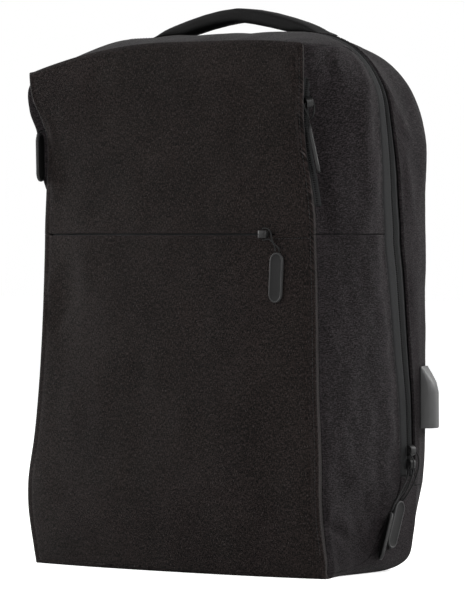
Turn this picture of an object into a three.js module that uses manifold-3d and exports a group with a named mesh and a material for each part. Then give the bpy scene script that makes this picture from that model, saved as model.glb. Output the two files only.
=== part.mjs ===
// Laptop backpack of heather cloth, standing by itself, in millimetres.
// X points right in a view of the front, Y to the straps and Z up.
// The origin lies on the floor under the middle of the body.
import * as THREE from "three";
import Module from "manifold-3d";
import { mergeVertices } from "three/addons/utils/BufferGeometryUtils.js";

// Body
const bodyHeight = 432;
const bodyHalfWidth = 150;
const bodyHalfDepth = 75;
const baseHeight = 68;
const seamHeight = 270;
const panelHeight = 423.4;
const cornerRadius = 70;
const footRadius = 34;
const heelTaper = 14;
const heelLift = 12;
const crown = 12;
const edgeFold = 3.2;
const slotDepth = 10.5;
const slotTuck = 13;
const gussetBulge = 12;
const leftDroop = 22;
const leftDroopPower = 1.9;
const rightDroop = 5.5;
const rightDroopPower = 6;
const droopStart = 2.2;
const droopSpread = 1.6;
const leftPuffOut = 21;
const leftPuffFore = 15;
const backPad = 5;

// Walls and seams
const clothWall = 2.2;
const baseWall = 2.6;
const backWall = 7;
const tapeWall = 1.2;
const seamGap = 0.17;
const mitreLimit = 0.7;
const rimMitreLimit = 0.5;
const baseSeamGap = 0.4;
const seat = 0.3;

// Zips
const tapeWidth = 22;
const zipTopDepth = -15;
const zipTurnPower = 1.1;
const sideTapeWidth = 6;
const coilWidth = 5;
const coilHeight = 0.9;
const slitHeight = 2.4;
const hiddenTape = 13;
const sliderLength = 9;
const sliderWidth = 6;
const sliderHeight = 5;
const sliderPlate = 1.5;
const sliderEye = 1.25;
const cordThick = 1.5;
const tagLength = 40;
const tagWidth = 12.5;
const tagThick = 2.6;
const tagRim = 1.5;
const tagRecess = 0.5;
const tagClear = 0.8;
const cordSpread = 1.7;

// Handle
const handleHalfLength = 92;
const handleRise = 23;
const handleWidth = 24;
const handleThick = 13.5;
const handleFootThick = 3;
const handleDepth = 12;

// Shoulder straps
const strapWidth = 60;
const strapThick = 11;
const strapTop = 388;
const strapEnd = 168;
const strapSpread = 46;
const strapFlare = 24;
const strapReach = 36;
const webWidth = 25;
const webThick = 1.6;
const webFoot = 62;
const webFootSpread = 0.693 * bodyHalfWidth;
const lockLength = 30;
const lockWidth = 34;
const lockThick = 4;

// Charging socket housing
const housingHeight = 50;
const housingWidth = 22;
const housingReach = 12;
const housingBottom = 114;
const socketWide = 12.4;
const socketThin = 6;
const socketDeep = 11;

// Rows up the sides. up: 0 floor, 1 top of the base, 2 pocket seam, 3 top edge of the front panel.
// shift moves a row below or above the slit's middle, wide and fore are the front panel's edge as shares
// of the half width and half depth, slot and tuck the groove behind it, bulge the side's swell, zip the
// main zip's front edge, tape its width, heel how far the lower back is drawn in, swell the front's
// crown and puff the left side's loose upper cloth.
const rowColumns = "up shift wide fore slot tuck bulge zip tape heel swell puff".split(" ");
const nameColumns = (row) => Object.fromEntries(rowColumns.map((name, i) => [name, row[i]]));
const sideRows = [
  [0.06, 0, 0.992, 0.965, 0.3, 0.5, 0, -0.64, 3.3, 0.95, 1, 0],
  [0.19, 0, 0.996, 0.985, 0.55, 0.85, 0.05, -0.19, 2.36, 0.82, 1.02, 0],
  [0.4, 0, 0.996, 1.03, 0.85, 1.2, -0.1, -0.03, 2.05, 0.64, 1.04, 0],
  [0.66, 0, 0.996, 1.075, 0.95, 1.35, -0.15, 0.16, 1.5, 0.45, 1, 0],
  [1, 0, 0.992, 1.09, 0.8, 1.2, 0.1, 0.38, 0.85, 0.2, 0.96, 0],
  [1.04, 0, 0.989, 1.08, 0.7, 1.1, 0.16, 0.4, 0.79, 0.14, 0.95, 0],
  [1.17, 0, 0.972, 1.04, 0.5, 0.86, 0.3, 0.395, 0.77, 0.03, 0.93, 0],
  [1.36, 0, 0.951, 1.013, 0.38, 0.7, 0.42, 0.36, 0.82, 0, 0.9, 0],
  [1.505, 0, 0.941, 0.996, 0.35, 0.65, 0.46, 0.293, 0.89, 0, 0.87, 0],
  [1.68, 0, 0.933, 0.98, 0.34, 0.62, 0.5, 0.227, 0.95, 0, 0.85, 0],
  [1.85, 0, 0.925, 0.975, 0.34, 0.62, 0.54, 0.164, 1, 0, 0.82, 0],
  [2, -1, 0.919, 0.976, 0.38, 0.66, 0.58, 0.11, 1, 0, 0.8, 0],
  [2, 1, 0.919, 0.976, 0.38, 0.66, 0.58, 0.11, 1, 0, 0.8, 0],
  [2.145, 0, 0.911, 0.981, 0.48, 0.77, 0.65, 0.083, 0.98, 0, 0.75, 0.15],
  [2.29, 0, 0.897, 0.995, 0.67, 0.85, 0.75, 0.067, 0.93, 0, 0.68, 0.5],
  [2.435, 0, 0.88, 1.019, 0.86, 0.92, 0.85, 0.04, 0.82, 0, 0.58, 0.8],
  [2.567, 0, 0.877, 1.048, 1, 1, 0.92, 0, 0.72, 0, 0.46, 1],
  [2.7, 0, 0.897, 1.113, 0.95, 1, 1, 0, 0.66, 0, 0.34, 1],
  [2.825, 0, 0.925, 1.18, 0.76, 0.92, 0.8, 0, 0.62, 0, 0.22, 0.85],
].map(nameColumns);
const earRow = nameColumns([3, 0, 0.932, 1.205, 0.45, 0.6, 0.5, 0, 0.6, 0, 0.14, 0.3]);
const floorRow = nameColumns([0, 0, 0.99, 0.955, 0, 0.62, 0, 0, 1, 1, 1, 0]);
const topRow = { slot: 0.19, tuck: 0.46, bulge: 0.25, fore: 1.17 };

// Lines round the bag behind the groove, front to back: half width, height, corner and foot radii, how
// much of the heel's taper and lift they take, their depth, and their depth where they cross the floor.
const ringLines = {
  zipFront: { wide: 0.987, rise: 0.998, corner: 0.86, foot: 0.24, taper: 0.05, lift: 0, floor: -0.8 },
  coilFront: { wide: 0.989, rise: 0.999, corner: 0.87, foot: 0.3, taper: 0.08, lift: 0, floor: -0.55 },
  coilRear: { wide: 0.991, rise: 1, corner: 0.88, foot: 0.35, taper: 0.1, lift: 0, floor: -0.22 },
  zipRear: { wide: 0.993, rise: 1, corner: 0.93, foot: 0.4, taper: 0.14, lift: 0, floor: 0.1 },
  crest: { wide: 0.994, rise: 0.997, corner: 1.2, foot: 0.55, taper: 0.35, lift: 0, floor: 0.48 },
  shoulder: {
    wide: 0.984, rise: 0.98, corner: 1.14, foot: 0.7, taper: 0.7, lift: 0, deep: 0.773, floor: 0.68,
  },
  round: {
    wide: 0.953, rise: 0.964, corner: 1.1, foot: 0.76, taper: 1, lift: 0.35, deep: 0.933, floor: 0.8,
  },
  backEdge: { wide: 0.893, rise: 0.943, corner: 1, foot: 0.8, taper: 1, lift: 1, deep: 1, floor: 0.87 },
};

// Shares across the front, where its columns and the stations of the top and the floor lie.
const acrossRight = [0.87, 0.755, 0.6, 0.4, 0.2];
const acrossLeft = [-0.965, -0.85, -0.65, -0.43, -0.2];
const slitFrom = -0.965;
const slitTo = 0.755;
const crownPower = 2.5;

// Soft dents in the front: place across and up as shares, spread, slant and depth as a share of the crown.
const dents = [
  { across: -0.86, up: 1.72, wide: 0.2, tall: 0.3, slant: 0.5, deep: 0.26 },
  { across: 0.8, up: 0.95, wide: 0.22, tall: 0.35, slant: -0.5, deep: 0.24 },
  { across: -0.35, up: 1.3, wide: 0.45, tall: 0.3, slant: 0.2, deep: 0.12 },
  { across: 0.45, up: 2.5, wide: 0.35, tall: 0.25, slant: -0.3, deep: 0.12 },
];

// Rows where the main zip's tape and the side pockets' tapes end.
const zipEndRow = 1.04;
const sideZipRows = { from: 1.36, to: 2.825 };

// Colours of the photo's finishes
const clothMaterial = new THREE.MeshStandardMaterial({ color: 0x2a2829, roughness: 0.95, metalness: 0 });
const sideMaterial = new THREE.MeshStandardMaterial({ color: 0x2d2b2d, roughness: 0.95, metalness: 0 });
const tapeMaterial = new THREE.MeshStandardMaterial({ color: 0x1d1f1e, roughness: 0.8, metalness: 0 });
const handleMaterial = new THREE.MeshStandardMaterial({ color: 0x161616, roughness: 0.85, metalness: 0 });
const meshMaterial = new THREE.MeshStandardMaterial({ color: 0x1b1b1c, roughness: 0.9, metalness: 0 });
const rubberMaterial = new THREE.MeshStandardMaterial({ color: 0x3a3b3c, roughness: 0.6, metalness: 0 });
const metalMaterial = new THREE.MeshStandardMaterial({ color: 0x19191a, roughness: 0.4, metalness: 0.7 });
const plasticMaterial = new THREE.MeshStandardMaterial({ color: 0x48494a, roughness: 0.5, metalness: 0 });
const bag = new THREE.Group();

function mix(a, b, t) {
  return a + (b - a) * t;
}

function mixPoint(a, b, t) {
  return a.clone().lerp(b, t);
}

// Height of a row: each stretch between the floor, the base's top, the pocket seam and the given top.
function rowHeight(up, top) {
  const marks = [0, baseHeight, seamHeight, top];
  const stretch = Math.min(Math.floor(up), marks.length - 2);
  return mix(marks[stretch], marks[stretch + 1], up - stretch);
}

// Drop of the front panel's top edge, most at the left ear, and how much of it a lower row takes.
function droop(across) {
  if (across < 0) {
    return leftDroop * Math.abs(across) ** leftDroopPower;
  }
  return rightDroop * across ** rightDroopPower;
}

function droopShare(up) {
  return up <= droopStart ? 0 : ((up - droopStart) / (3 - droopStart)) ** droopSpread;
}

// Forward swell of the front at a share across and a row, less its soft dents.
function frontSwell(across, row) {
  let swell = crown * row.swell * (1 - Math.abs(across) ** crownPower);
  for (const dent of dents) {
    const right = across - dent.across;
    const over = row.up - dent.up + right * dent.slant;
    const depth = Math.exp(-((right / dent.wide) ** 2) - (over / dent.tall) ** 2);
    swell -= crown * dent.deep * depth * (1 - across ** 8);
  }
  return swell;
}

// Stations run round the bag from the middle of the floor, up the right side, over and down the left.
// A station knows the direction out of the bag there, and on a rounded corner how far it has turned.
function buildStations() {
  const quarter = Math.PI / 2;
  const list = [];
  const sideOf = (side, across) => {
    const rows = sideRows.map((row, i) => {
      const turned = i - (sideRows.length - 3);
      const turn = turned < 0 ? undefined : (turned * quarter) / 6;
      return { region: "side", side, across: side, row, turn, out: [side, 0] };
    });
    const ear = { region: "ear", side, across: side, row: earRow, turn: quarter / 2, out: [side, 1] };
    const over = across.map((share, i) => {
      const turn = i < 3 ? (quarter * (i + 4)) / 6 : undefined;
      return { region: "top", side, across: share, row: earRow, turn, out: [0, 1], inner: across[2] };
    });
    return [...rows, ear, ...over];
  };
  const floorOf = (across) => across.map((share) => {
    return { region: "floor", side: Math.sign(share), across: share, row: floorRow, out: [0, -1] };
  });
  const cornerOf = (side) => {
    return { region: "foot", side, across: side, row: floorRow, out: [side, -1] };
  };
  list.push({ region: "floor", side: 1, across: 0, row: floorRow, out: [0, -1] });
  list.push(...floorOf([...acrossRight].reverse()), cornerOf(1), ...sideOf(1, acrossRight));
  list.push({ region: "top", side: 1, across: 0, row: earRow, out: [0, 1], inner: acrossRight[2] });
  list.push(...sideOf(-1, acrossLeft).reverse(), cornerOf(-1), ...floorOf(acrossLeft));
  return list;
}

// The front panel's outermost edge at a station: the corner row's values hold along the top and floor.
function edgePoint(station) {
  const { row, across, region } = station;
  const half = bodyHalfWidth * row.wide;
  const flat = region === "top" || region === "floor";
  let fore = bodyHalfDepth * row.fore;
  if (region === "top") {
    fore = bodyHalfDepth * mix(topRow.fore, earRow.fore, across ** 2);
  }
  const x = flat ? across * half : station.side * half;
  const y = -fore - (flat ? frontSwell(across, row) : 0);
  const z = rowHeight(row.up, panelHeight) - droop(across) * droopShare(row.up);
  return new THREE.Vector3(x, y, z + row.shift * (slitHeight / 2));
}

// The folded edge, the flange behind it and the groove, from the face's rim to the side's front.
function frontPoints(station) {
  const edge = edgePoint(station);
  const [outX, outZ] = station.out;
  const top = station.region === "top";
  const slot = slotDepth * (top ? topRow.slot : station.row.slot);
  const tuck = slotTuck * (top ? topRow.tuck : station.row.tuck);
  const onFloor = station.region === "floor" || station.region === "foot";
  const place = (inward, back) => {
    const z = edge.z - outZ * inward;
    return new THREE.Vector3(edge.x - outX * inward, edge.y + back, Math.max(0, z));
  };
  const rim = place(0.9 * edgeFold, -0.75 * edgeFold);
  const outer = place(0, 0);
  const behind = onFloor ? place(0.2, edgeFold) : place(0.35 * edgeFold, 0.95 * edgeFold);
  if (onFloor) {
    behind.z = 0;
    const joint = place(0, tuck);
    joint.x = edge.x - outX * 0.6 * edgeFold;
    return [rim, outer, behind, joint, joint.clone()];
  }
  const groove = place(slot, tuck);
  const zipSide = place(slot - sideTapeWidth * 0.35, tuck + sideTapeWidth);
  return [rim, outer, behind, groove, zipSide];
}

// A point of a ring line at a station.
function ringPoint(name, station, y) {
  const line = ringLines[name];
  const { row, side, across, region, turn } = station;
  const half = bodyHalfWidth * line.wide - heelTaper * line.taper * row.heel;
  const top = bodyHeight * line.rise;
  const corner = cornerRadius * line.corner;
  const foot = footRadius * line.foot;
  if (turn !== undefined) {
    const x = side * (half - corner + corner * Math.cos(turn));
    return new THREE.Vector3(x, y, top - corner + corner * Math.sin(turn));
  }
  if (region === "top") {
    const share = Math.abs(across / station.inner) * Math.sign(across);
    return new THREE.Vector3((half - corner) * share, y, top);
  }
  const lift = heelLift * line.lift * row.heel;
  if (region === "floor" || region === "foot") {
    return new THREE.Vector3(across * (half - foot), y, lift);
  }
  const bent = sideRows[sideRows.length - 3].up;
  const high = seamHeight + ((row.up - 2) / (bent - 2)) * (top - corner - seamHeight);
  const z = row.up > 2 ? high : rowHeight(row.up, top) + row.shift * (slitHeight / 2);
  const under = Math.max(0, foot - z);
  const x = half - foot + Math.sqrt(Math.max(0, foot ** 2 - under ** 2));
  return new THREE.Vector3(side * x, y, z + lift);
}

// How deep each ring line lies at a station.
function ringDepths(station) {
  const { row, region, turn } = station;
  const line = ringLines;
  const onFloor = region === "floor" || region === "foot";
  if (onFloor) {
    return Object.fromEntries(Object.keys(line).map((name) => [name, bodyHalfDepth * line[name].floor]));
  }
  const flat = region === "top" ? 1 : 0;
  const over = turn === undefined ? flat : (turn / (Math.PI / 2)) ** zipTurnPower;
  const front = mix(bodyHalfDepth * row.zip, zipTopDepth, over);
  const wide = tapeWidth * row.tape;
  const heel = heelTaper * row.heel ** 2;
  const middle = front + wide / 2;
  const coil = row.up < zipEndRow ? wide / 3 : coilWidth;
  const rear = front + wide;
  const deep = (name) => bodyHalfDepth * line[name].deep - heel * line[name].taper;
  return {
    zipFront: front,
    coilFront: middle - coil / 2,
    coilRear: middle + coil / 2,
    zipRear: rear,
    crest: mix(rear, deep("shoulder"), 0.5),
    shoulder: deep("shoulder"),
    round: deep("round"),
    backEdge: deep("backEdge"),
  };
}

// The side's cloth between the groove and the zip: shares across it, its swell and its loose left part.
const gussetLines = [
  { part: 0.15, swell: 0.5, out: 1, fore: 1 },
  { part: 0.42, swell: 0.95, out: 0.5, fore: 0.66 },
  { part: 0.74, swell: 0.85, out: 0.12, fore: 0.25 },
];

function stationPoints(station) {
  const front = frontPoints(station);
  const deep = ringDepths(station);
  const rings = Object.keys(ringLines).map((name) => ringPoint(name, station, deep[name]));
  const onFloor = station.region === "floor" || station.region === "foot";
  if (onFloor) {
    rings[0] = front[4].clone();
  }
  const top = station.region === "top";
  const bulge = gussetBulge * (top ? topRow.bulge : station.row.bulge);
  const turn = station.turn ?? (top ? Math.PI / 2 : 0);
  const out = new THREE.Vector3(station.side * Math.cos(turn), 0, Math.sin(turn));
  if (top || station.row.up > zipEndRow) {
    rings[1].addScaledVector(out, coilHeight);
    rings[2].addScaledVector(out, coilHeight);
  }
  const loose = station.side < 0 && !top && !onFloor ? station.row.puff : 0;
  const sides = gussetLines.map((line) => {
    const point = mixPoint(front[4], rings[0], line.part);
    if (onFloor) {
      return front[4].clone();
    }
    point.addScaledVector(out, bulge * line.swell);
    point.x -= leftPuffOut * line.out * loose;
    point.y -= leftPuffFore * line.fore * loose;
    return point;
  });
  return [...front, ...sides, ...rings];
}

const stations = buildStations();
const band = stations.map(stationPoints);
const lineOf = { rim: 0, outer: 1, behind: 2, groove: 3, zipSide: 4, zipFront: 8, coilFront: 9 };
Object.assign(lineOf, { coilRear: 10, zipRear: 11, crest: 12, shoulder: 13, round: 14, backEdge: 15 });

// One skin carries every sewn panel, so that neighbours share their seam points and their directions.
const skinPoints = [];
const skinKeys = new Map();
const skinCells = [];

function skinIndex(point) {
  const key = [point.x, point.y, point.z].map((v) => Math.round(v * 1000)).join(",");
  if (!skinKeys.has(key)) {
    skinKeys.set(key, skinPoints.length);
    skinPoints.push(point);
  }
  return skinKeys.get(key);
}

function addCell(panel, ...corners) {
  const ids = corners.map(skinIndex).filter((id, i, all) => all.indexOf(id) === i);
  if (panel && ids.length > 2) {
    skinCells.push({ panel, ids });
  }
}

// The name of the panel that holds the cell between two stations and two lines of the band.
function bandPanel(a, b, line) {
  const hand = a.side > 0 ? "right" : "left";
  const low = Math.min(a.row.up, b.row.up);
  const high = Math.max(a.row.up, b.row.up);
  const overTop = (s) => s.region === "top" || s.region === "ear";
  const top = overTop(a) && overTop(b);
  const inSlit = low === 2 && high === 2 && !top;
  const upper = (low >= 2 || top) && !inSlit;
  if (line < lineOf.groove) {
    return upper ? "front_panel_upper" : "front_panel_lower";
  }
  if (line === lineOf.groove && low >= sideZipRows.from && high <= sideZipRows.to) {
    return `side_zip_tape_${hand}`;
  }
  if (line < lineOf.zipFront) {
    if (top) {
      return "top_strip";
    }
    const tip = low < sideRows[0].up;
    return tip ? "base" : `side_${upper ? "upper" : "lower"}_${hand}`;
  }
  if (line < lineOf.zipRear) {
    return low >= zipEndRow || top ? "main_zip_tape" : "base";
  }
  return low >= 1 || top ? "rear_gusset" : "base";
}

stations.forEach((station, i) => {
  const next = (i + 1) % stations.length;
  for (let line = 0; line < lineOf.backEdge; line += 1) {
    const [a, b] = [band[i], band[next]];
    addCell(bandPanel(station, stations[next], line), a[line], a[line + 1], b[line + 1], b[line]);
  }
});

// The back: rings drawn in from the rear edge to one point, padded out between.
const backShares = [0.05, 0.16, 0.42, 0.72];
const backMiddle = new THREE.Vector3(0, bodyHalfDepth + backPad, mix(seamHeight, baseHeight, 0.25));
const backRings = band.map((points) => {
  const rim = points[lineOf.backEdge];
  return [rim, ...backShares.map((share) => {
    const point = mixPoint(rim, backMiddle, share);
    point.y = rim.y + (backMiddle.y - rim.y) * Math.sin(Math.min(1, share * 3) * (Math.PI / 2));
    return point;
  })];
});
backRings.forEach((ring, i) => {
  const next = backRings[(i + 1) % backRings.length];
  for (let step = 0; step < backShares.length; step += 1) {
    addCell("back_panel", ring[step], ring[step + 1], next[step + 1], next[step]);
  }
  addCell("back_panel", ring[backShares.length], backMiddle, next[backShares.length]);
});

// The front face, between the rims of the left and right stations.
const faceShares = [-1, ...acrossLeft, 0, ...[...acrossRight].reverse(), 1];

function facePoint(row, across) {
  const station = { region: "side", side: 1, across, row, out: [0, 0] };
  const edge = edgePoint(station);
  const half = bodyHalfWidth * row.wide - 0.9 * edgeFold;
  const y = edge.y - 0.75 * edgeFold - frontSwell(across, row);
  return new THREE.Vector3(across * half, y, edge.z);
}

function faceRim(region) {
  return faceShares.map((share) => {
    const ends = region === "top" ? "ear" : "foot";
    const wanted = Math.abs(share) === 1 ? ends : region;
    const index = stations.findIndex((s) => s.region === wanted && s.across === share);
    return band[index][lineOf.rim];
  });
}

const faceRows = sideRows.map((row) => {
  return faceShares.map((share) => {
    if (Math.abs(share) < 1) {
      return facePoint(row, share);
    }
    const index = stations.findIndex((s) => s.region === "side" && s.side === share && s.row === row);
    return band[index][lineOf.rim];
  });
});
const face = [faceRim("floor"), ...faceRows, faceRim("top")];
const slitRow = sideRows.findIndex((row) => row.shift === -1) + 1;
face.slice(0, -1).forEach((low, i) => {
  const high = face[i + 1];
  for (let j = 0; j < faceShares.length - 1; j += 1) {
    const open = i === slitRow && faceShares[j] >= slitFrom && faceShares[j + 1] <= slitTo;
    const panel = i > slitRow ? "front_panel_upper" : "front_panel_lower";
    addCell(open ? null : panel, low[j], low[j + 1], high[j + 1], high[j]);
  }
});

// Each point's direction out of the skin, lengthened a little where the cloth folds.
function cellNormal(ids) {
  const normal = new THREE.Vector3();
  const [a, b, c, d] = ids.map((id) => skinPoints[id]);
  const across = (d ?? c).clone().sub(b);
  normal.crossVectors(c.clone().sub(a), across);
  if (!d) {
    normal.crossVectors(b.clone().sub(a), c.clone().sub(a));
  }
  return normal;
}

const skinOut = skinPoints.map(() => new THREE.Vector3());
for (const cell of skinCells) {
  cell.normal = cellNormal(cell.ids).normalize();
  cell.ids.forEach((id) => skinOut[id].add(cell.normal));
}
const skinDrop = skinOut.map((sum) => sum.clone().normalize());
const skinLean = skinPoints.map(() => []);
for (const cell of skinCells) {
  cell.ids.forEach((id) => skinLean[id].push(cell.normal.dot(skinDrop[id])));
}
skinDrop.forEach((out, id) => {
  const lean = skinLean[id].reduce((a, b) => a + b, 0) / skinLean[id].length;
  out.divideScalar(Math.max(mitreLimit, lean));
});

function meshFromArrays(name, positions, triangles, material) {
  const geometry = new THREE.BufferGeometry();
  geometry.setAttribute("position", new THREE.Float32BufferAttribute(positions, 3));
  geometry.setIndex(triangles);
  geometry.computeVertexNormals();
  const mesh = new THREE.Mesh(geometry, material);
  mesh.name = name;
  return mesh;
}

// A panel of the skin with its wall: outer and inner faces, drawn in a little at every seam.
function panelMesh(name, wall, material, gap) {
  const cells = skinCells.filter((cell) => cell.panel === name);
  const edges = new Map();
  for (const cell of cells) {
    cell.ids.forEach((id, i) => {
      edges.set(`${id},${cell.ids[(i + 1) % cell.ids.length]}`, cell);
    });
  }
  const rims = [];
  const pulls = new Map();
  for (const [key, cell] of edges) {
    const [from, to] = key.split(",").map(Number);
    if (edges.has(`${to},${from}`)) {
      continue;
    }
    rims.push([from, to]);
    const along = skinPoints[to].clone().sub(skinPoints[from]);
    const inward = cell.normal.clone().cross(along).normalize();
    for (const id of [from, to]) {
      pulls.set(id, [...(pulls.get(id) ?? []), inward]);
    }
  }
  const used = new Map();
  const positions = [];
  const place = (id) => {
    if (used.has(id)) {
      return used.get(id);
    }
    const point = skinPoints[id].clone();
    const inwards = pulls.get(id) ?? [];
    if (inwards.length > 0) {
      const sum = inwards.reduce((a, b) => a.clone().add(b), new THREE.Vector3()).normalize();
      const lean = Math.max(rimMitreLimit, inwards.reduce((a, b) => a + b.dot(sum), 0) / inwards.length);
      point.addScaledVector(sum, gap / lean);
      point.z = Math.max(0, point.z);
    }
    const inner = point.clone().addScaledVector(skinDrop[id], -wall);
    used.set(id, positions.length / 3);
    positions.push(...point.toArray(), ...inner.toArray());
    return used.get(id);
  };
  const triangles = [];
  for (const cell of cells) {
    const spots = cell.ids.map(place);
    for (let i = 1; i < spots.length - 1; i += 1) {
      triangles.push(spots[0], spots[i], spots[i + 1]);
      triangles.push(spots[0] + 1, spots[i + 1] + 1, spots[i] + 1);
    }
  }
  // Neighbours split a twisted seam wall along the same diagonal, so their walls stay parallel.
  for (const [from, to] of rims) {
    const [a, b] = [place(from), place(to)];
    const halves = from < to ? [a, a + 1, b + 1, a, b + 1, b] : [a, a + 1, b, a + 1, b + 1, b];
    triangles.push(...halves);
  }
  return meshFromArrays(name, positions, triangles, material);
}

function addPanels(names, wall, material, gap = seamGap) {
  names.forEach((name) => bag.add(panelMesh(name, wall, material, gap)));
}

addPanels(["front_panel_upper", "front_panel_lower"], clothWall, clothMaterial);
addPanels(["side_upper_right", "side_upper_left"], clothWall, sideMaterial);
addPanels(["side_lower_right", "side_lower_left"], clothWall, sideMaterial);
addPanels(["top_strip", "rear_gusset"], clothWall, sideMaterial);
addPanels(["base"], baseWall, sideMaterial, baseSeamGap);
addPanels(["back_panel"], backWall, meshMaterial);
addPanels(["side_zip_tape_right", "side_zip_tape_left"], tapeWall, tapeMaterial);
addPanels(["main_zip_tape"], tapeWall, tapeMaterial);

// Small pieces: where a straight line from outside meets the skin, and the skin's direction there.
function surfaceHit(x, y, z, dx, dy, dz) {
  const ray = new THREE.Ray(new THREE.Vector3(x, y, z), new THREE.Vector3(dx, dy, dz).normalize());
  let best = null;
  for (const cell of skinCells) {
    const corners = cell.ids.map((id) => skinPoints[id]);
    for (let i = 1; i < corners.length - 1; i += 1) {
      const [a, b, c] = [corners[0], corners[i], corners[i + 1]];
      const point = ray.intersectTriangle(a, b, c, false, new THREE.Vector3());
      if (point && (!best || point.distanceTo(ray.origin) < best.point.distanceTo(ray.origin))) {
        best = { point, out: cell.normal.clone() };
      }
    }
  }
  return best;
}

// A place on one side at a height, midway between two lines of the band, with up, out and across.
function lineSeat(side, height, lineA, lineB) {
  const column = stations
    .map(({ region }, i) => ({ region, side: stations[i].side, points: band[i] }))
    .filter((entry) => entry.side === side && ["side", "ear"].includes(entry.region))
    .map(({ points }) => ({ a: points[lineA], b: points[lineB] }))
    .sort((p, q) => p.a.z + p.b.z - q.a.z - q.b.z);
  const middle = (pair) => mixPoint(pair.a, pair.b, 0.5);
  const above = column.findIndex((pair) => middle(pair).z > height);
  const [low, high] = [column[above - 1], column[above]];
  const [from, to] = [middle(low), middle(high)];
  const share = (height - from.z) / (to.z - from.z);
  const along = to.clone().sub(from).normalize();
  const back = low.b.clone().sub(low.a).lerp(high.b.clone().sub(high.a), share).normalize();
  const out = back.cross(along).multiplyScalar(side).normalize();
  return { at: mixPoint(from, to, share), along, out, across: out.clone().cross(along).normalize() };
}

// Joins rings of points into one closed body, each end closed from its middle.
function loftMesh(name, rings, material) {
  const count = rings[0].length;
  const positions = rings.flat().flatMap((point) => point.toArray());
  const triangles = [];
  for (let ring = 0; ring < rings.length - 1; ring += 1) {
    for (let i = 0; i < count; i += 1) {
      const next = (i + 1) % count;
      const [a, b] = [ring * count + i, ring * count + next];
      triangles.push(a, b, b + count, a, b + count, a + count);
    }
  }
  for (const end of [0, rings.length - 1]) {
    const sum = rings[end].reduce((total, point) => total.add(point), new THREE.Vector3());
    const middle = sum.divideScalar(count);
    const centre = positions.length / 3;
    positions.push(...middle.toArray());
    for (let i = 0; i < count; i += 1) {
      const [a, b] = [end * count + i, end * count + ((i + 1) % count)];
      triangles.push(...(end === 0 ? [centre, b, a] : [centre, a, b]));
    }
  }
  const mesh = meshFromArrays(name, positions, triangles, material);
  if (signedVolume(positions, triangles) < 0) {
    mesh.geometry.setIndex(triangles.map((_, i) => triangles[i - (i % 3) + [0, 2, 1][i % 3]]));
    mesh.geometry.computeVertexNormals();
  }
  return mesh;
}

function signedVolume(positions, triangles) {
  const at = (id) => new THREE.Vector3().fromArray(positions, id * 3);
  let sum = 0;
  for (let i = 0; i < triangles.length; i += 3) {
    sum += at(triangles[i]).dot(at(triangles[i + 1]).cross(at(triangles[i + 2]))) / 6;
  }
  return sum;
}

// A ring of points round a centre in two directions; power above 2 squares its corners.
function roundRing(centre, right, up, halfWide, halfTall, count, power = 2) {
  return Array.from({ length: count }, (_, i) => {
    const turn = ((i + 0.5) / count) * 2 * Math.PI;
    const shape = (v) => Math.sign(v) * Math.abs(v) ** (2 / power);
    const point = centre.clone().addScaledVector(right, halfWide * shape(Math.cos(turn)));
    return point.addScaledVector(up, halfTall * shape(Math.sin(turn)));
  });
}

// A length swept along a curve, as one closed body.
function sweepMesh(name, points, radius, sides, steps, material) {
  const section = new THREE.Shape();
  section.absarc(0, 0, radius, 0, 2 * Math.PI);
  const path = new THREE.CatmullRomCurve3(points);
  const options = { curveSegments: sides / 2, steps, extrudePath: path };
  const geometry = new THREE.ExtrudeGeometry(section, options);
  const mesh = new THREE.Mesh(geometry, material);
  mesh.name = name;
  return mesh;
}

// A slider: a plate with a bridge over it, and an eye through the bridge for its pull cord.
function sliderMesh(name, place, clear) {
  const half = sliderLength / 2;
  const side = new THREE.Shape();
  side.moveTo(0.5 - half, 0);
  side.lineTo(half - 0.5, 0);
  side.lineTo(half, 0.5);
  side.lineTo(half, sliderPlate);
  side.quadraticCurveTo(0.75 * half, sliderHeight, 0.3 * half, sliderHeight);
  side.lineTo(-0.3 * half, sliderHeight);
  side.quadraticCurveTo(-0.75 * half, sliderHeight, -half, sliderPlate);
  side.lineTo(-half, 0.5);
  const eye = new THREE.Path();
  eye.absarc(0, sliderHeight - sliderEye - 0.8, sliderEye, 0, 2 * Math.PI);
  side.holes.push(eye);
  const options = { depth: sliderWidth, bevelEnabled: false, curveSegments: 4 };
  const geometry = new THREE.ExtrudeGeometry(side, options).translate(0, 0, -sliderWidth / 2);
  const across = place.along.clone().cross(place.out);
  const turn = new THREE.Matrix4().makeBasis(place.along, place.out, across);
  turn.setPosition(place.at.clone().addScaledVector(place.out, clear));
  const mesh = new THREE.Mesh(geometry.applyMatrix4(turn), metalMaterial);
  mesh.name = name;
  return mesh;
}

// A moulded tag hanging from its top point: a long round-ended plate with a raised rim on both faces.
function tagMesh(name, top, down, out) {
  const wide = out.clone().cross(down).normalize();
  const middle = top.clone().addScaledVector(down, tagLength / 2);
  const straight = tagLength / 2 - tagWidth / 2;
  const count = 16;
  const ring = (inset, height) => Array.from({ length: count }, (_, i) => {
    const turn = ((i + 0.5) / count) * 2 * Math.PI;
    const [c, d] = [Math.cos(turn), Math.sin(turn)];
    const radius = tagWidth / 2 - inset;
    const point = middle.clone().addScaledVector(wide, radius * c);
    point.addScaledVector(down, radius * d + Math.sign(d) * straight);
    return point.addScaledVector(out, height);
  });
  const half = tagThick / 2;
  const side = [[tagRim, tagRecess - half], [tagRim - 0.3, -half], [0.4, -half], [0, 0.5 - half]];
  const rows = [...side, ...[...side].reverse().map(([inset, height]) => [inset, -height])];
  return loftMesh(name, rows.map(([inset, height]) => ring(inset, height)), rubberMaterial);
}

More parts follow.
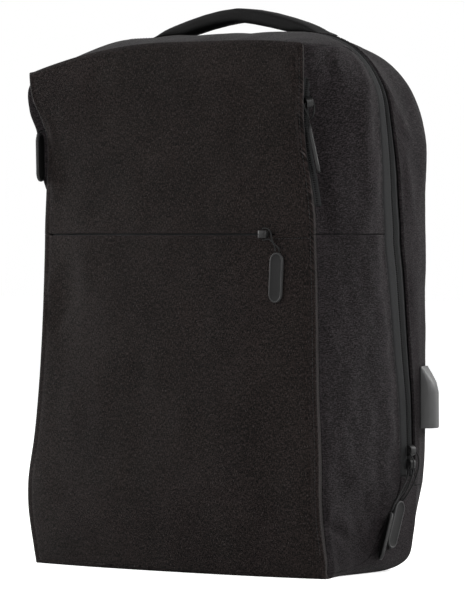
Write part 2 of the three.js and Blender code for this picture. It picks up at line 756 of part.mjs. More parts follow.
// The pull of one slider: a cord from the tag up through the eye and down to the tag again.
function addPull(name, place, clear, tag) {
  const down = tag.down.clone().normalize();
  const out = tag.out.clone().addScaledVector(down, -tag.out.dot(down)).normalize();
  const wide = out.clone().cross(down).normalize();
  const eye = place.at.clone().addScaledVector(place.out, clear + sliderHeight - sliderEye - 0.8);
  const across = place.along.clone().cross(place.out).normalize();
  const way = across.dot(wide) < 0 ? -1 : 1;
  const toTag = Math.sign(tag.top.clone().sub(eye).dot(place.along));
  const beside = (side) => {
    const past = eye.clone().addScaledVector(across, side * way * (sliderWidth / 2 + cordThick));
    const corner = past.clone().addScaledVector(place.along, toTag * (sliderLength / 2 + 1.6 * cordThick));
    corner.addScaledVector(across, -side * way * 0.6 * cordThick).addScaledVector(place.out, tag.over);
    const end = tag.top.clone().addScaledVector(wide, side * cordSpread).addScaledVector(down, -seat - 0.1);
    const before = end.clone().addScaledVector(down, -2.5).addScaledVector(place.out, 0.35 * tag.over);
    const bend = mixPoint(corner, before, 0.5).addScaledVector(place.out, 1 + 0.5 * tag.over);
    return [past, corner, bend, before, end];
  };
  const points = [...beside(1).reverse(), eye, ...beside(-1)];
  bag.add(sliderMesh(`${name}_slider`, place, clear));
  bag.add(sweepMesh(`${name}_pull_cord`, points, cordThick / 2, 6, 22, tapeMaterial));
  bag.add(tagMesh(`${name}_pull_tag`, tag.top, down, out));
}

// Front pocket: a tape with its coil behind the slit, and the slider parked at the slit's right end.
const slitHit = (x) => surfaceHit(x, -2 * bodyHalfDepth, seamHeight - slitHeight, 0, 1, 0);
const tapeStations = 12;
const faceHalf = bodyHalfWidth * sideRows[slitRow].wide;
const frontTape = Array.from({ length: tapeStations + 1 }, (_, i) => {
  const hit = slitHit(faceHalf * mix(slitFrom, slitTo, mix(0.02, 0.98, i / tapeStations)));
  const inward = hit.out.clone().setZ(0).normalize().negate();
  const up = new THREE.Vector3(0, 0, 1);
  const start = hit.point.clone().setZ(seamHeight).addScaledVector(inward, clothWall + 2 * seat);
  const halves = [[-hiddenTape / 2, 0], [-slitHeight / 2, 0], [-slitHeight / 3, -coilHeight]];
  const near = [...halves, ...halves.map(([z, d]) => [-z, d]).reverse()];
  const far = [[hiddenTape / 2, tapeWall], [-hiddenTape / 2, tapeWall]];
  return [...near, ...far].map(([z, d]) => start.clone().addScaledVector(up, z).addScaledVector(inward, d));
});
bag.add(loftMesh("front_zip_tape", frontTape, tapeMaterial));

function frontSeat(x, height) {
  const hit = surfaceHit(x, -2 * bodyHalfDepth, height, 0, 1, 0);
  return { at: hit.point, along: new THREE.Vector3(1, 0, 0), out: hit.out };
}

const frontSliderAcross = 0.69;
const frontSeatPlace = frontSeat(frontSliderAcross * faceHalf, seamHeight - slitHeight);
frontSeatPlace.at.z = seamHeight;
frontSeatPlace.along.addScaledVector(frontSeatPlace.out, -frontSeatPlace.out.x).normalize();
const frontTagTop = frontSeat(frontSliderAcross * faceHalf + 13, seamHeight - 14);
const frontTagEnd = frontSeat(frontSliderAcross * faceHalf + 11.5, seamHeight - 14 - tagLength);
const lift = tagThick / 2 + tagClear;
addPull("front", frontSeatPlace, seat, {
  top: frontTagTop.at.clone().addScaledVector(frontTagTop.out, lift),
  down: frontTagEnd.at.clone().sub(frontTagTop.at),
  out: frontTagTop.out,
  over: 0,
});

// Side pockets: a slider high in the groove behind each ear, its tag hanging out of the groove.
// slider and tagTop are rows, tagOut and tagFore move the tag's top out of the groove, lean and yaw turn
// it, over lifts the cord over its neighbours and ride is the slider's height over the coil.
const sidePulls = [
  {
    name: "side_right", side: 1, slider: 2.679, tagTop: 2.567,
    tagOut: 6, tagFore: 4, lean: 10.5, yaw: 0.96, over: 1.6, ride: 1.9,
  },
  {
    name: "side_left", side: -1, slider: 2.646, tagTop: 2.541,
    tagOut: 16.5, tagFore: 15, lean: -1, yaw: 1.8, over: 5, ride: 5.6,
  },
];
for (const pull of sidePulls) {
  const sliderHigh = rowHeight(pull.slider, panelHeight);
  const place = lineSeat(pull.side, sliderHigh, lineOf.groove, lineOf.zipSide);
  const groove = lineSeat(pull.side, rowHeight(pull.tagTop, panelHeight), lineOf.groove, lineOf.zipSide);
  const top = groove.at.clone();
  top.x += pull.side * pull.tagOut;
  top.y -= pull.tagFore;
  addPull(pull.name, place, pull.ride, {
    top,
    down: new THREE.Vector3(pull.side * pull.lean, 0, -tagLength),
    out: new THREE.Vector3(pull.side * Math.sin(pull.yaw), Math.cos(pull.yaw), 0),
    over: pull.over,
  });
}

// Main zip: two sliders parked at the lower end of the right side, one tag flat on the side and one
// standing on its edge in front of it.
// slider and tagTop are shares of the base's height, tagDepth of the half depth.
const mainPulls = [
  { name: "main_upper", slider: 1.426, tagDepth: 0.36, tagTop: 0.838, slide: -16.5, stand: 0, over: 5 },
  { name: "main_lower", slider: 1.265, tagDepth: 0.12, tagTop: 0.72, slide: -16, stand: 0.9, over: 0 },
];
for (const pull of mainPulls) {
  const place = lineSeat(1, pull.slider * baseHeight, lineOf.coilFront, lineOf.coilRear);
  const [tagDepth, tagTop] = [pull.tagDepth * bodyHalfDepth, pull.tagTop * baseHeight];
  const sideHit = (y, z) => surfaceHit(2 * bodyHalfWidth, y, z, -1, 0, 0).point;
  const upper = sideHit(tagDepth, tagTop);
  const lower = sideHit(tagDepth + pull.slide, tagTop - tagLength);
  const rise = (tagThick * Math.cos(pull.stand) + tagWidth * Math.sin(pull.stand)) / 2 + tagClear;
  const reach = Math.max(upper.x, lower.x) + rise;
  addPull(pull.name, place, seat, {
    top: upper.clone().setX(reach),
    down: new THREE.Vector3(0, pull.slide, -tagLength),
    out: new THREE.Vector3(Math.cos(pull.stand), Math.sin(pull.stand), 0),
    over: pull.over,
  });
}

// Padded grab handle behind the zip, its two ends sewn flat on the top.
const topSurface = bodyHeight * ringLines.zipRear.rise;
const handleShares = [-1, -0.9, -0.8, -0.68, -0.55, -0.36, -0.18, 0, 0.18, 0.36, 0.55, 0.68, 0.8, 0.9, 1];
const handleRings = handleShares.map((share) => {
  const arch = handleRise * (1 - Math.abs(share) ** 1.6);
  const outer = topSurface + seat + Math.max(handleFootThick, arch);
  const padded = mix(handleFootThick, handleThick, Math.min(1, (1 - Math.abs(share)) * 3));
  const inner = Math.max(topSurface + seat, outer - padded);
  const centre = new THREE.Vector3(share * handleHalfLength, handleDepth, (outer + inner) / 2);
  const [right, up] = [new THREE.Vector3(0, 1, 0), new THREE.Vector3(0, 0, 1)];
  return roundRing(centre, right, up, handleWidth / 2, (outer - inner) / 2, 12, 4);
});
bag.add(loftMesh("handle", handleRings, handleMaterial));

// Shoulder straps: padded, from the top of the back, bowed out and back in, then webbing to the foot.
const backSurface = (x, z) => surfaceHit(x, 2 * bodyHalfDepth, z, 0, -1, 0).point.y;
const strapStops = [
  { down: 0, spread: 0, reach: 0.02, thick: 0.5 },
  { down: 0.07, spread: 0.05, reach: 0.2, thick: 0.8 },
  { down: 0.2, spread: 0.18, reach: 0.55, thick: 1 },
  { down: 0.38, spread: 0.45, reach: 0.88, thick: 1 },
  { down: 0.58, spread: 0.75, reach: 1, thick: 1 },
  { down: 0.78, spread: 0.95, reach: 0.9, thick: 1 },
  { down: 0.93, spread: 1, reach: 0.68, thick: 0.9 },
  { down: 1, spread: 1, reach: 0.56, thick: 0.7 },
];
const strapLength = strapTop - strapEnd;
for (const [hand, side] of [["right", 1], ["left", -1]]) {
  const centres = strapStops.map((stop) => {
    const x = strapSpread + strapFlare * stop.spread;
    const z = strapTop - strapLength * stop.down;
    const clear = seat + (strapThick * stop.thick) / 2;
    return new THREE.Vector3(side * x, backSurface(x, z) + clear + strapReach * stop.reach, z);
  });
  const rings = centres.map((centre, i) => {
    const along = centres[Math.min(i + 1, centres.length - 1)].clone().sub(centres[Math.max(i - 1, 0)]);
    const right = new THREE.Vector3(1, 0, 0);
    const out = right.clone().cross(along).normalize();
    return roundRing(centre, right, out, strapWidth / 2, (strapThick * strapStops[i].thick) / 2, 12, 4);
  });
  bag.add(loftMesh(`shoulder_strap_${hand}`, rings, handleMaterial));

  // Ladder lock under the strap's end, and the webbing from it to the bag's lower corner.
  const end = centres[centres.length - 1];
  const foot = new THREE.Vector3(side * webFootSpread, 0, webFoot);
  foot.y = backSurface(webFootSpread, webFoot) + seat + webThick;
  const down = foot.clone().sub(end).normalize();
  const out = new THREE.Vector3(1, 0, 0).cross(down).negate().normalize();
  const wide = down.clone().cross(out).normalize();
  const plate = new THREE.Shape();
  plate.moveTo(-lockWidth / 2, 0);
  plate.lineTo(lockWidth / 2, 0);
  plate.lineTo(lockWidth / 2, lockLength);
  plate.lineTo(-lockWidth / 2, lockLength);
  const bar = (lockWidth - webWidth) / 2 - 1;
  const slot = (lockLength - 4 * bar) / 2 + bar / 2;
  for (const start of [bar, lockLength - bar - slot]) {
    const hole = new THREE.Path();
    hole.moveTo(bar - lockWidth / 2, start);
    hole.lineTo(lockWidth / 2 - bar, start);
    hole.lineTo(lockWidth / 2 - bar, start + slot);
    hole.lineTo(bar - lockWidth / 2, start + slot);
    plate.holes.push(hole);
  }
  const lock = new THREE.ExtrudeGeometry(plate, { depth: lockThick, bevelEnabled: false });
  const lockStart = end.clone().addScaledVector(down, strapThick * 0.5 + seat);
  const basis = new THREE.Matrix4().makeBasis(wide, down, wide.clone().cross(down));
  basis.setPosition(lockStart.clone().addScaledVector(wide.clone().cross(down), -lockThick / 2));
  const lockMesh = new THREE.Mesh(lock.applyMatrix4(basis), metalMaterial);
  lockMesh.name = `ladder_lock_${hand}`;
  bag.add(lockMesh);

  const webStart = lockStart.clone().addScaledVector(down, lockLength + seat);
  const webRings = [0, 0.25, 0.5, 0.75, 1].map((share) => {
    const centre = mixPoint(webStart, foot, share);
    return roundRing(centre, wide, out, webWidth / 2, webThick / 2, 8, 8);
  });
  bag.add(loftMesh(`webbing_${hand}`, webRings, handleMaterial));
}

// Charging socket housing on the right rear edge, its socket open downwards.
const housingRows = [
  { rise: 0, reach: 0.96 },
  { rise: 0.03, reach: 1 },
  { rise: 0.58, reach: 0.98 },
  { rise: 0.74, reach: 0.82 },
  { rise: 0.87, reach: 0.5 },
  { rise: 0.96, reach: 0.22 },
  { rise: 1, reach: 0.1 },
];
const housingSeat = lineSeat(1, housingBottom + housingHeight / 2, lineOf.shoulder, lineOf.round);
const housingUp = new THREE.Vector3(0, 0, 1);
const housingOut = housingSeat.out.clone().setZ(0).normalize();
const housingAcross = housingUp.clone().cross(housingOut).normalize();
const housingBase = housingSeat.at.clone().setZ(housingBottom).addScaledVector(housingOut, seat);
const housingRings = housingRows.map(({ rise, reach }) => {
  const centre = housingBase.clone().addScaledVector(housingUp, housingHeight * rise);
  return Array.from({ length: 11 }, (_, i) => {
    const turn = ((i - 5) / 5) * (Math.PI / 2);
    const away = housingReach * reach * Math.cos(turn) ** 0.5;
    const beside = (housingWidth / 2) * Math.sign(turn) * Math.abs(Math.sin(turn)) ** 0.8;
    return centre.clone().addScaledVector(housingOut, away).addScaledVector(housingAcross, beside);
  });
});
const wasm = await Module();
wasm.setup();

function solidFrom(geometry) {
  const bare = geometry.clone();
  bare.deleteAttribute("normal");
  bare.deleteAttribute("uv");
  const welded = mergeVertices(bare, 1e-3);
  const vertProperties = welded.attributes.position.array;
  return new wasm.Manifold(new wasm.Mesh({ numProp: 3, vertProperties, triVerts: welded.index.array }));
}

const socketBox = new THREE.BoxGeometry(socketWide, socketThin, 2 * socketDeep);
const socketTurn = new THREE.Matrix4().makeBasis(housingAcross, housingOut.clone().negate(), housingUp);
socketTurn.setPosition(housingBase.clone().addScaledVector(housingOut, housingReach * 0.5));
const housingShell = loftMesh("shell", housingRings, plasticMaterial).geometry;
const housing = solidFrom(housingShell).subtract(solidFrom(socketBox.applyMatrix4(socketTurn))).getMesh();
bag.add(meshFromArrays("usb_housing", [...housing.vertProperties], [...housing.triVerts], plasticMaterial));

export default bag;
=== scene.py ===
import math

import bpy
import numpy as np
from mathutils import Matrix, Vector


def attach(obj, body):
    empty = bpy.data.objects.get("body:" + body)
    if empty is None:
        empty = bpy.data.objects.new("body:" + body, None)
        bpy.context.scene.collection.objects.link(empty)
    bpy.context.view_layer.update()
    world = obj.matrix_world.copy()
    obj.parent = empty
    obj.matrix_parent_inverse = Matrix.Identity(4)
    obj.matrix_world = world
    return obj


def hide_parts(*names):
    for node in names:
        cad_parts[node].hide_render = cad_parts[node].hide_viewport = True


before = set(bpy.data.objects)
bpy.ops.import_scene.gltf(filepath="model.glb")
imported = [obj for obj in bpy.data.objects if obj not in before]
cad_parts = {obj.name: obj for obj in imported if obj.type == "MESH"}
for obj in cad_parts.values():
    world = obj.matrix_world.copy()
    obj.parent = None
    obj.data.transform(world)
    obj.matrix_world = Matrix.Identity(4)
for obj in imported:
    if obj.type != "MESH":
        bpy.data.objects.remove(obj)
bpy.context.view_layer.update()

# Laptop backpack of heather cloth. Sizes are millimetres until a mesh is written, which is in metres.
mm = 0.001

camera = {
    "turn": 38.0,          # degrees to the right of the front
    "reach": 3700.0,       # level distance from the origin
    "height": 270.3,
    "pitch": -0.769,       # degrees
    "lens": 277.2,
}

body = {
    "height": 432.0, "halfWidth": 150.0, "halfDepth": 75.0,
    "baseHeight": 68.0, "seamHeight": 270.0, "panelHeight": 423.4,
    "cornerRadius": 70.0, "footRadius": 34.0,
    "heelTaper": 14.0, "heelLift": 12.0,
    "crown": 12.0, "crownPower": 2.5, "edgeFold": 3.2,
    "slotDepth": 10.5, "slotTuck": 13.0, "gussetBulge": 12.0,
    "leftDroop": 22.0, "rightDroop": 5.5, "leftPuffOut": 21.0, "leftPuffFore": 15.0,
    "backPad": 5.0, "slitHeight": 2.4,
    "tapeWidth": 22.0, "zipTopDepth": -15.0, "sideTapeWidth": 6.0, "coilWidth": 5.0,
    "zipEndRow": 1.04,
}

# Rows up the sides. up: 0 floor, 1 top of the base, 2 pocket seam, 3 top edge of the front panel.
# wide and fore are the front panel's edge, slot and tuck the groove behind it, zip the main zip's
# front edge, tape its width, heel the lower back's taper, puff the left side's loose upper cloth.
rowColumns = "up shift wide fore slot tuck bulge zip tape heel swell puff".split()
sideTable = np.array([
    [0.06, 0, 0.992, 0.965, 0.3, 0.5, 0, -0.64, 3.3, 0.95, 1, 0],
    [0.19, 0, 0.996, 0.985, 0.55, 0.85, 0.05, -0.19, 2.36, 0.82, 1.02, 0],
    [0.4, 0, 0.996, 1.03, 0.85, 1.2, -0.1, -0.03, 2.05, 0.64, 1.04, 0],
    [0.66, 0, 0.996, 1.075, 0.95, 1.35, -0.15, 0.16, 1.5, 0.45, 1, 0],
    [1, 0, 0.992, 1.09, 0.8, 1.2, 0.1, 0.38, 0.85, 0.2, 0.96, 0],
    [1.04, 0, 0.989, 1.08, 0.7, 1.1, 0.16, 0.4, 0.79, 0.14, 0.95, 0],
    [1.17, 0, 0.972, 1.04, 0.5, 0.86, 0.3, 0.395, 0.77, 0.03, 0.93, 0],
    [1.36, 0, 0.951, 1.013, 0.38, 0.7, 0.42, 0.36, 0.82, 0, 0.9, 0],
    [1.505, 0, 0.941, 0.996, 0.35, 0.65, 0.46, 0.293, 0.89, 0, 0.87, 0],
    [1.68, 0, 0.933, 0.98, 0.34, 0.62, 0.5, 0.227, 0.95, 0, 0.85, 0],
    [1.85, 0, 0.925, 0.975, 0.34, 0.62, 0.54, 0.164, 1, 0, 0.82, 0],
    [2, -1, 0.919, 0.976, 0.38, 0.66, 0.58, 0.11, 1, 0, 0.8, 0],
    [2, 1, 0.919, 0.976, 0.38, 0.66, 0.58, 0.11, 1, 0, 0.8, 0],
    [2.145, 0, 0.911, 0.981, 0.48, 0.77, 0.65, 0.083, 0.98, 0, 0.75, 0.38],
    [2.29, 0, 0.897, 0.995, 0.67, 0.85, 0.75, 0.067, 0.93, 0, 0.68, 0.74],
    [2.435, 0, 0.88, 1.019, 0.86, 0.92, 0.85, 0.04, 0.82, 0, 0.58, 0.94],
    [2.567, 0, 0.877, 1.048, 1, 1, 0.92, 0, 0.72, 0, 0.46, 1],
    [2.7, 0, 0.897, 1.113, 0.95, 1, 1, 0, 0.66, 0, 0.34, 1],
    [2.825, 0, 0.925, 1.18, 0.76, 0.92, 0.8, 0, 0.62, 0, 0.22, 0.85],
])
earValues = np.array([3, 0, 0.932, 1.205, 0.45, 0.6, 0.5, 0, 0.6, 0, 0.14, 0.3])
floorValues = np.array([0, 0, 0.99, 0.955, 0, 0.62, 0, 0, 1, 1, 1, 0])
topRow = {"slot": 0.19, "tuck": 0.46, "bulge": 0.25, "fore": 1.17}

# Lines round the bag behind the groove: half width, height, corner and foot radii, heel's taper and
# lift, depth on the sides, depth where they cross the floor.
ringTable = {
    "zipFront": (0.987, 0.998, 0.86, 0.24, 0.05, 0, 0, -0.8),
    "coilFront": (0.989, 0.999, 0.87, 0.3, 0.08, 0, 0, -0.55),
    "coilRear": (0.991, 1, 0.88, 0.35, 0.1, 0, 0, -0.22),
    "zipRear": (0.993, 1, 0.93, 0.4, 0.14, 0, 0, 0.1),
    "crest": (0.994, 0.997, 1.2, 0.55, 0.35, 0, 0, 0.48),
    "shoulder": (0.984, 0.98, 1.14, 0.7, 0.7, 0, 0.773, 0.68),
    "round": (0.953, 0.964, 1.1, 0.76, 1, 0.35, 0.933, 0.8),
    "backEdge": (0.893, 0.943, 1, 0.8, 1, 1, 1, 0.87),
}
lineOf = {"rim": 0, "outer": 1, "behind": 2, "groove": 3, "zipSide": 4, "zipFront": 8, "coilFront": 9,
          "coilRear": 10, "zipRear": 11, "crest": 12, "shoulder": 13, "round": 14, "backEdge": 15}
acrossRight = [0.87, 0.755, 0.6, 0.4, 0.2]
acrossLeft = [-0.965, -0.85, -0.65, -0.43, -0.2]
slitEnds = (-0.965, 0.755)
gussetLines = [(0.15, 0.5, 1, 1), (0.42, 0.95, 0.5, 0.66), (0.74, 0.85, 0.12, 0.25)]

# Soft dents in the front: across, up, spread across, spread up, slant, depth as a share of the crown.
dents = [
    (-0.86, 1.72, 0.2, 0.3, 0.5, 0.26),
    (0.8, 0.95, 0.22, 0.35, -0.5, 0.24),
    (-0.35, 1.3, 0.45, 0.3, 0.2, 0.12),
    (0.45, 2.5, 0.35, 0.25, -0.3, 0.12),
]


def mix(a, b, t):
    return a + (b - a) * t


def smoothStep(t):
    t = np.clip(t, 0, 1)
    return t * t * (3 - 2 * t)


# ---- the bag's skin: the same stations and lines as the frame's solids
def rowHeight(up, top):
    # straight between the floor, the base's top, the pocket seam and the given top
    return np.interp(up, [0, 1, 2, 3], [0, body["baseHeight"], body["seamHeight"], top])


def droop(across):
    left = body["leftDroop"] * np.abs(across) ** 1.9
    return np.where(across < 0, left, body["rightDroop"] * across ** 6)


def droopShare(up):
    return np.clip((up - 2.2) / 0.8, 0, None) ** 1.6


def frontSwell(across, up, swell):
    # a crown that falls to nothing at both edges, less soft round dents
    out = body["crown"] * swell * (1 - np.abs(across) ** body["crownPower"])
    for place, level, wide, tall, slant, deep in dents:
        right = across - place
        over = up - level + right * slant
        fall = np.exp(-((right / wide) ** 2) - (over / tall) ** 2)
        out = out - body["crown"] * deep * fall * (1 - across ** 8)
    return out


def buildStations():
    # one entry per station: region, side, across, turn in degrees or nan, row values, inner share
    sides = len(sideTable)
    turns = [np.nan] * (sides - 3) + [0, 15, 30]

    def sideOf(side, across):
        rows = [("side", side, side, turns[i], sideTable[i], 1) for i in range(sides)]
        rows.append(("ear", side, side, 45, earValues, 1))
        for i, share in enumerate(across):
            turn = 60 + 15 * i if i < 3 else np.nan
            rows.append(("top", side, share, turn, earValues, across[2]))
        return rows

    def floorOf(across):
        return [("floor", np.sign(s), s, np.nan, floorValues, 1) for s in across]

    right = [("floor", 1, 0, np.nan, floorValues, 1)]
    right += floorOf(acrossRight[::-1]) + [("foot", 1, 1, np.nan, floorValues, 1)]
    right += sideOf(1, acrossRight)
    right.append(("top", 1, 0, np.nan, earValues, acrossRight[2]))
    left = sideOf(-1, acrossLeft)[::-1] + [("foot", -1, -1, np.nan, floorValues, 1)]
    return right + left + floorOf(acrossLeft)


stations = buildStations()
regions = np.array([s[0] for s in stations])
sideOfStation = np.array([s[1] for s in stations], float)
acrossOf = np.array([s[2] for s in stations], float)
turnOf = np.radians(np.array([s[3] for s in stations], float))
rowOf = dict(zip(rowColumns, np.array([s[4] for s in stations]).T))
innerOf = np.array([s[5] for s in stations], float)
isTop = regions == "top"
onFloor = (regions == "floor") | (regions == "foot")
isFlat = isTop | (regions == "floor")


def edgePoints(across, side, row, top):
    # the front panel's outermost edge, from its row's shares of the half width and half depth
    half = body["halfWidth"] * row["wide"]
    fore = body["halfDepth"] * row["fore"]
    fore = np.where(top, body["halfDepth"] * mix(topRow["fore"], earValues[3], across ** 2), fore)
    flat = np.abs(across) < 1
    x = np.where(flat, across * half, side * half)
    y = -fore - np.where(flat, frontSwell(across, row["up"], row["swell"]), 0)
    z = rowHeight(row["up"], body["panelHeight"]) - droop(across) * droopShare(row["up"])
    return np.stack([x, y, z + row["shift"] * body["slitHeight"] / 2], -1)


def bandControl():
    # every station's sixteen points, from the front panel's rim over the ridge and groove to the back
    edge = edgePoints(acrossOf, sideOfStation, rowOf, isTop)
    outX = np.where((regions == "side") | (regions == "ear") | (regions == "foot"), sideOfStation, 0)
    outZ = np.select([isTop | (regions == "ear"), onFloor], [1.0, -1.0], 0.0)
    slot = body["slotDepth"] * np.where(isTop, topRow["slot"], rowOf["slot"])
    tuck = body["slotTuck"] * np.where(isTop, topRow["tuck"], rowOf["tuck"])
    fold = body["edgeFold"]

    def place(inward, back):
        z = np.maximum(0, edge[:, 2] - outZ * inward)
        return np.stack([edge[:, 0] - outX * inward, edge[:, 1] + back, z], -1)

    rim = place(0.9 * fold, -0.75 * fold)
    outer = place(0, 0)
    behind = place(np.where(onFloor, 0.2, 0.35 * fold), np.where(onFloor, 1, 0.95) * fold)
    behind[onFloor, 2] = 0
    joint = place(0, tuck)
    joint[:, 0] = edge[:, 0] - outX * 0.6 * fold
    groove = np.where(onFloor[:, None], joint, place(slot, tuck))
    wide = body["sideTapeWidth"]
    zipSide = np.where(onFloor[:, None], joint, place(slot - wide * 0.35, tuck + wide))

    turned = ~np.isnan(turnOf)
    turn = np.where(turned, turnOf, 0)
    over = np.where(turned, (turn / (math.pi / 2)) ** 1.1, np.where(isTop, 1, 0))
    front = mix(body["halfDepth"] * rowOf["zip"], body["zipTopDepth"], over)
    wide = body["tapeWidth"] * rowOf["tape"]
    coil = np.where(rowOf["up"] < body["zipEndRow"], wide / 3, body["coilWidth"])
    heel = body["heelTaper"] * rowOf["heel"] ** 2
    depths = {"zipFront": front, "zipRear": front + wide}
    depths["coilFront"] = front + wide / 2 - coil / 2
    depths["coilRear"] = front + wide / 2 + coil / 2
    for name in ["shoulder", "round", "backEdge"]:
        depths[name] = body["halfDepth"] * ringTable[name][6] - heel * ringTable[name][4]
    depths["crest"] = (depths["zipRear"] + depths["shoulder"]) / 2

    rings = []
    for name, (wideShare, rise, cornerShare, footShare, taper, lift, deep, floor) in ringTable.items():
        y = np.where(onFloor, body["halfDepth"] * floor, depths[name])
        half = body["halfWidth"] * wideShare - body["heelTaper"] * taper * rowOf["heel"]
        top = body["height"] * rise
        corner = body["cornerRadius"] * cornerShare
        foot = body["footRadius"] * footShare
        raised = body["heelLift"] * lift * rowOf["heel"]
        bent = sideTable[-3, 0]
        high = body["seamHeight"] + (rowOf["up"] - 2) / (bent - 2) * (top - corner - body["seamHeight"])
        low = rowHeight(rowOf["up"], top) + rowOf["shift"] * body["slitHeight"] / 2
        z = np.where(rowOf["up"] > 2, high, low)
        under = np.maximum(0, foot - z)
        x = sideOfStation * (half - foot + np.sqrt(np.maximum(0, foot ** 2 - under ** 2)))
        z = z + raised
        x = np.where(isTop, (half - corner) * np.abs(acrossOf / innerOf) * np.sign(acrossOf), x)
        z = np.where(isTop, top, z)
        x = np.where(turned, sideOfStation * (half - corner + corner * np.cos(turn)), x)
        z = np.where(turned, top - corner + corner * np.sin(turn), z)
        x = np.where(onFloor, acrossOf * (half - foot), x)
        z = np.where(onFloor, raised, z)
        rings.append(np.stack([x, y, z], -1))
    rings[0] = np.where(onFloor[:, None], zipSide, rings[0])

    bulge = body["gussetBulge"] * np.where(isTop, topRow["bulge"], rowOf["bulge"])
    turn = np.where(turned, turnOf, np.where(isTop, math.pi / 2, 0))
    out = np.stack([sideOfStation * np.cos(turn), 0 * turn, np.sin(turn)], -1)
    loose = np.where((sideOfStation < 0) & ~isTop & ~onFloor, rowOf["puff"], 0)
    cloth = []
    for part, swell, sideways, fore in gussetLines:
        point = mix(zipSide, rings[0], part) + out * (bulge * swell)[:, None]
        point[:, 0] -= body["leftPuffOut"] * sideways * loose
        point[:, 1] -= body["leftPuffFore"] * fore * loose
        cloth.append(np.where(onFloor[:, None], zipSide, point))
    return np.stack([rim, outer, behind, groove, zipSide, *cloth, *rings], 1)


def slopes(values, knots):
    # each knot's slope: its neighbours' rises weighed by the other gap, held so that nothing overshoots
    gap = np.diff(knots)
    gap = gap.reshape((-1,) + (1,) * (values.ndim - 1))
    rise = np.diff(values, axis=0) / gap
    before, after = rise[:-1], rise[1:]
    inner = (gap[1:] * before + gap[:-1] * after) / (gap[1:] + gap[:-1])
    limit = 3 * np.minimum(np.abs(before), np.abs(after))
    inner = np.where(before * after <= 0, 0, np.sign(inner) * np.minimum(np.abs(inner), limit))
    return np.concatenate([rise[:1], inner, rise[-1:]]), rise


def curveThrough(values, knots, at, closed=False):
    # cubic pieces through the rows of values, each given by its two ends and their slopes
    if closed:
        total = knots[-1]
        values = np.concatenate([values[-3:-1], values, values[1:3]])
        knots = np.concatenate([knots[-3:-1] - total, knots, knots[1:3] + total])
    slope, rise = slopes(values, knots)
    i = np.clip(np.searchsorted(knots, at, side="right") - 1, 0, len(knots) - 2)
    gap = knots[i + 1] - knots[i]
    shape = (-1,) + (1,) * (values.ndim - 1)
    t = ((at - knots[i]) / gap).reshape(shape)
    gap = gap.reshape(shape)
    low, high = values[i], values[i + 1]
    return ((2 * t ** 3 - 3 * t ** 2 + 1) * low + (t ** 3 - 2 * t ** 2 + t) * gap * slope[i]
            + (3 * t ** 2 - 2 * t ** 3) * high + (t ** 3 - t ** 2) * gap * slope[i + 1])


def finerKnots(knots, counts):
    # every gap between knots cut into its count of equal steps
    parts = [np.linspace(knots[i], knots[i + 1], counts[i], endpoint=False) for i in range(len(counts))]
    return np.concatenate(parts + [knots[-1:]])


control = bandControl()
ringed = np.concatenate([control, control[:1]])
stationStep = np.linalg.norm(np.diff(ringed[:, 1:], axis=0), axis=2).mean(1)
stationKnots = np.concatenate([[0], np.cumsum(np.maximum(stationStep, 0.4))])
upright = ~onFloor
lineStep = np.linalg.norm(np.diff(control[upright], axis=1), axis=2).mean(0)
lineKnots = np.concatenate([[0], np.cumsum(lineStep)])

grain = 2.2     # wanted spacing of the fine grid
firstSide = int(np.argmax(regions == "foot"))
lastSide = firstSide + len(sideTable) + 1
sideCounts = [max(2, round(d / grain)) for d in stationStep[firstSide:lastSide]]
leftShares = [-1, *acrossLeft, 0]
leftCounts = np.array([max(3, round(abs(b - a) * 148 / grain)) for a, b in zip(leftShares, leftShares[1:])])
acrossCounts = np.array([max(3, round(abs(b - a) * 148 / grain))
                         for a, b in zip([1, *acrossRight], [*acrossRight, 0])])
acrossCounts[0] = 14
leftCounts[0] = 5
stationCounts = np.concatenate([acrossCounts[::-1], sideCounts, acrossCounts,
                                leftCounts[::-1], sideCounts[::-1], leftCounts])
lineCounts = np.array([4, 4, 4, 4, 6, 12, 14, 14, 5, 4, 5, 14, 14, 8, 6])
stationAt = finerKnots(stationKnots, stationCounts)
lineAt = finerKnots(lineKnots, lineCounts)
stationStart = np.concatenate([[0], np.cumsum(stationCounts)])     # fine index of each station
lineStart = np.concatenate([[0], np.cumsum(lineCounts)])           # fine index of each line
dense = curveThrough(ringed, stationKnots, stationAt, closed=True)
dense = curveThrough(dense.transpose(1, 0, 2), lineKnots, lineAt).transpose(1, 0, 2)
dense[..., 2] = np.maximum(dense[..., 2], 0)
print("skin", dense.shape)


# ---- grids: lengths, normals, folds and meshes
def gridLengths(points):
    # running length along each direction of a grid, as the mean over the other
    along = np.linalg.norm(np.diff(points, axis=0), axis=2).mean(1)
    across = np.linalg.norm(np.diff(points, axis=1), axis=2).mean(0)
    return np.concatenate([[0], np.cumsum(along)]), np.concatenate([[0], np.cumsum(across)])


def gridNormals(points):
    # the cross product of the grid's two slopes
    normal = np.cross(np.gradient(points, axis=1), np.gradient(points, axis=0))
    size = np.linalg.norm(normal, axis=2, keepdims=True)
    return normal / np.maximum(size, 1e-9)


def softWrinkles(p, q, height, longest, shortest, seed, lean=0.0, waves=26):
    # a sum of slanted sine waves of random length, turn and start
    pick = np.random.default_rng(seed)
    total = np.zeros_like(p)
    for _ in range(waves):
        length = math.exp(pick.uniform(math.log(shortest), math.log(longest)))
        turn = lean + pick.normal(0, 0.9)
        start = pick.uniform(0, 2 * math.pi)
        wave = (p * math.cos(turn) + q * math.sin(turn)) * 2 * math.pi / length + start
        total += np.sin(wave) * (length / longest) ** 0.7
    return height * total / math.sqrt(waves / 2)


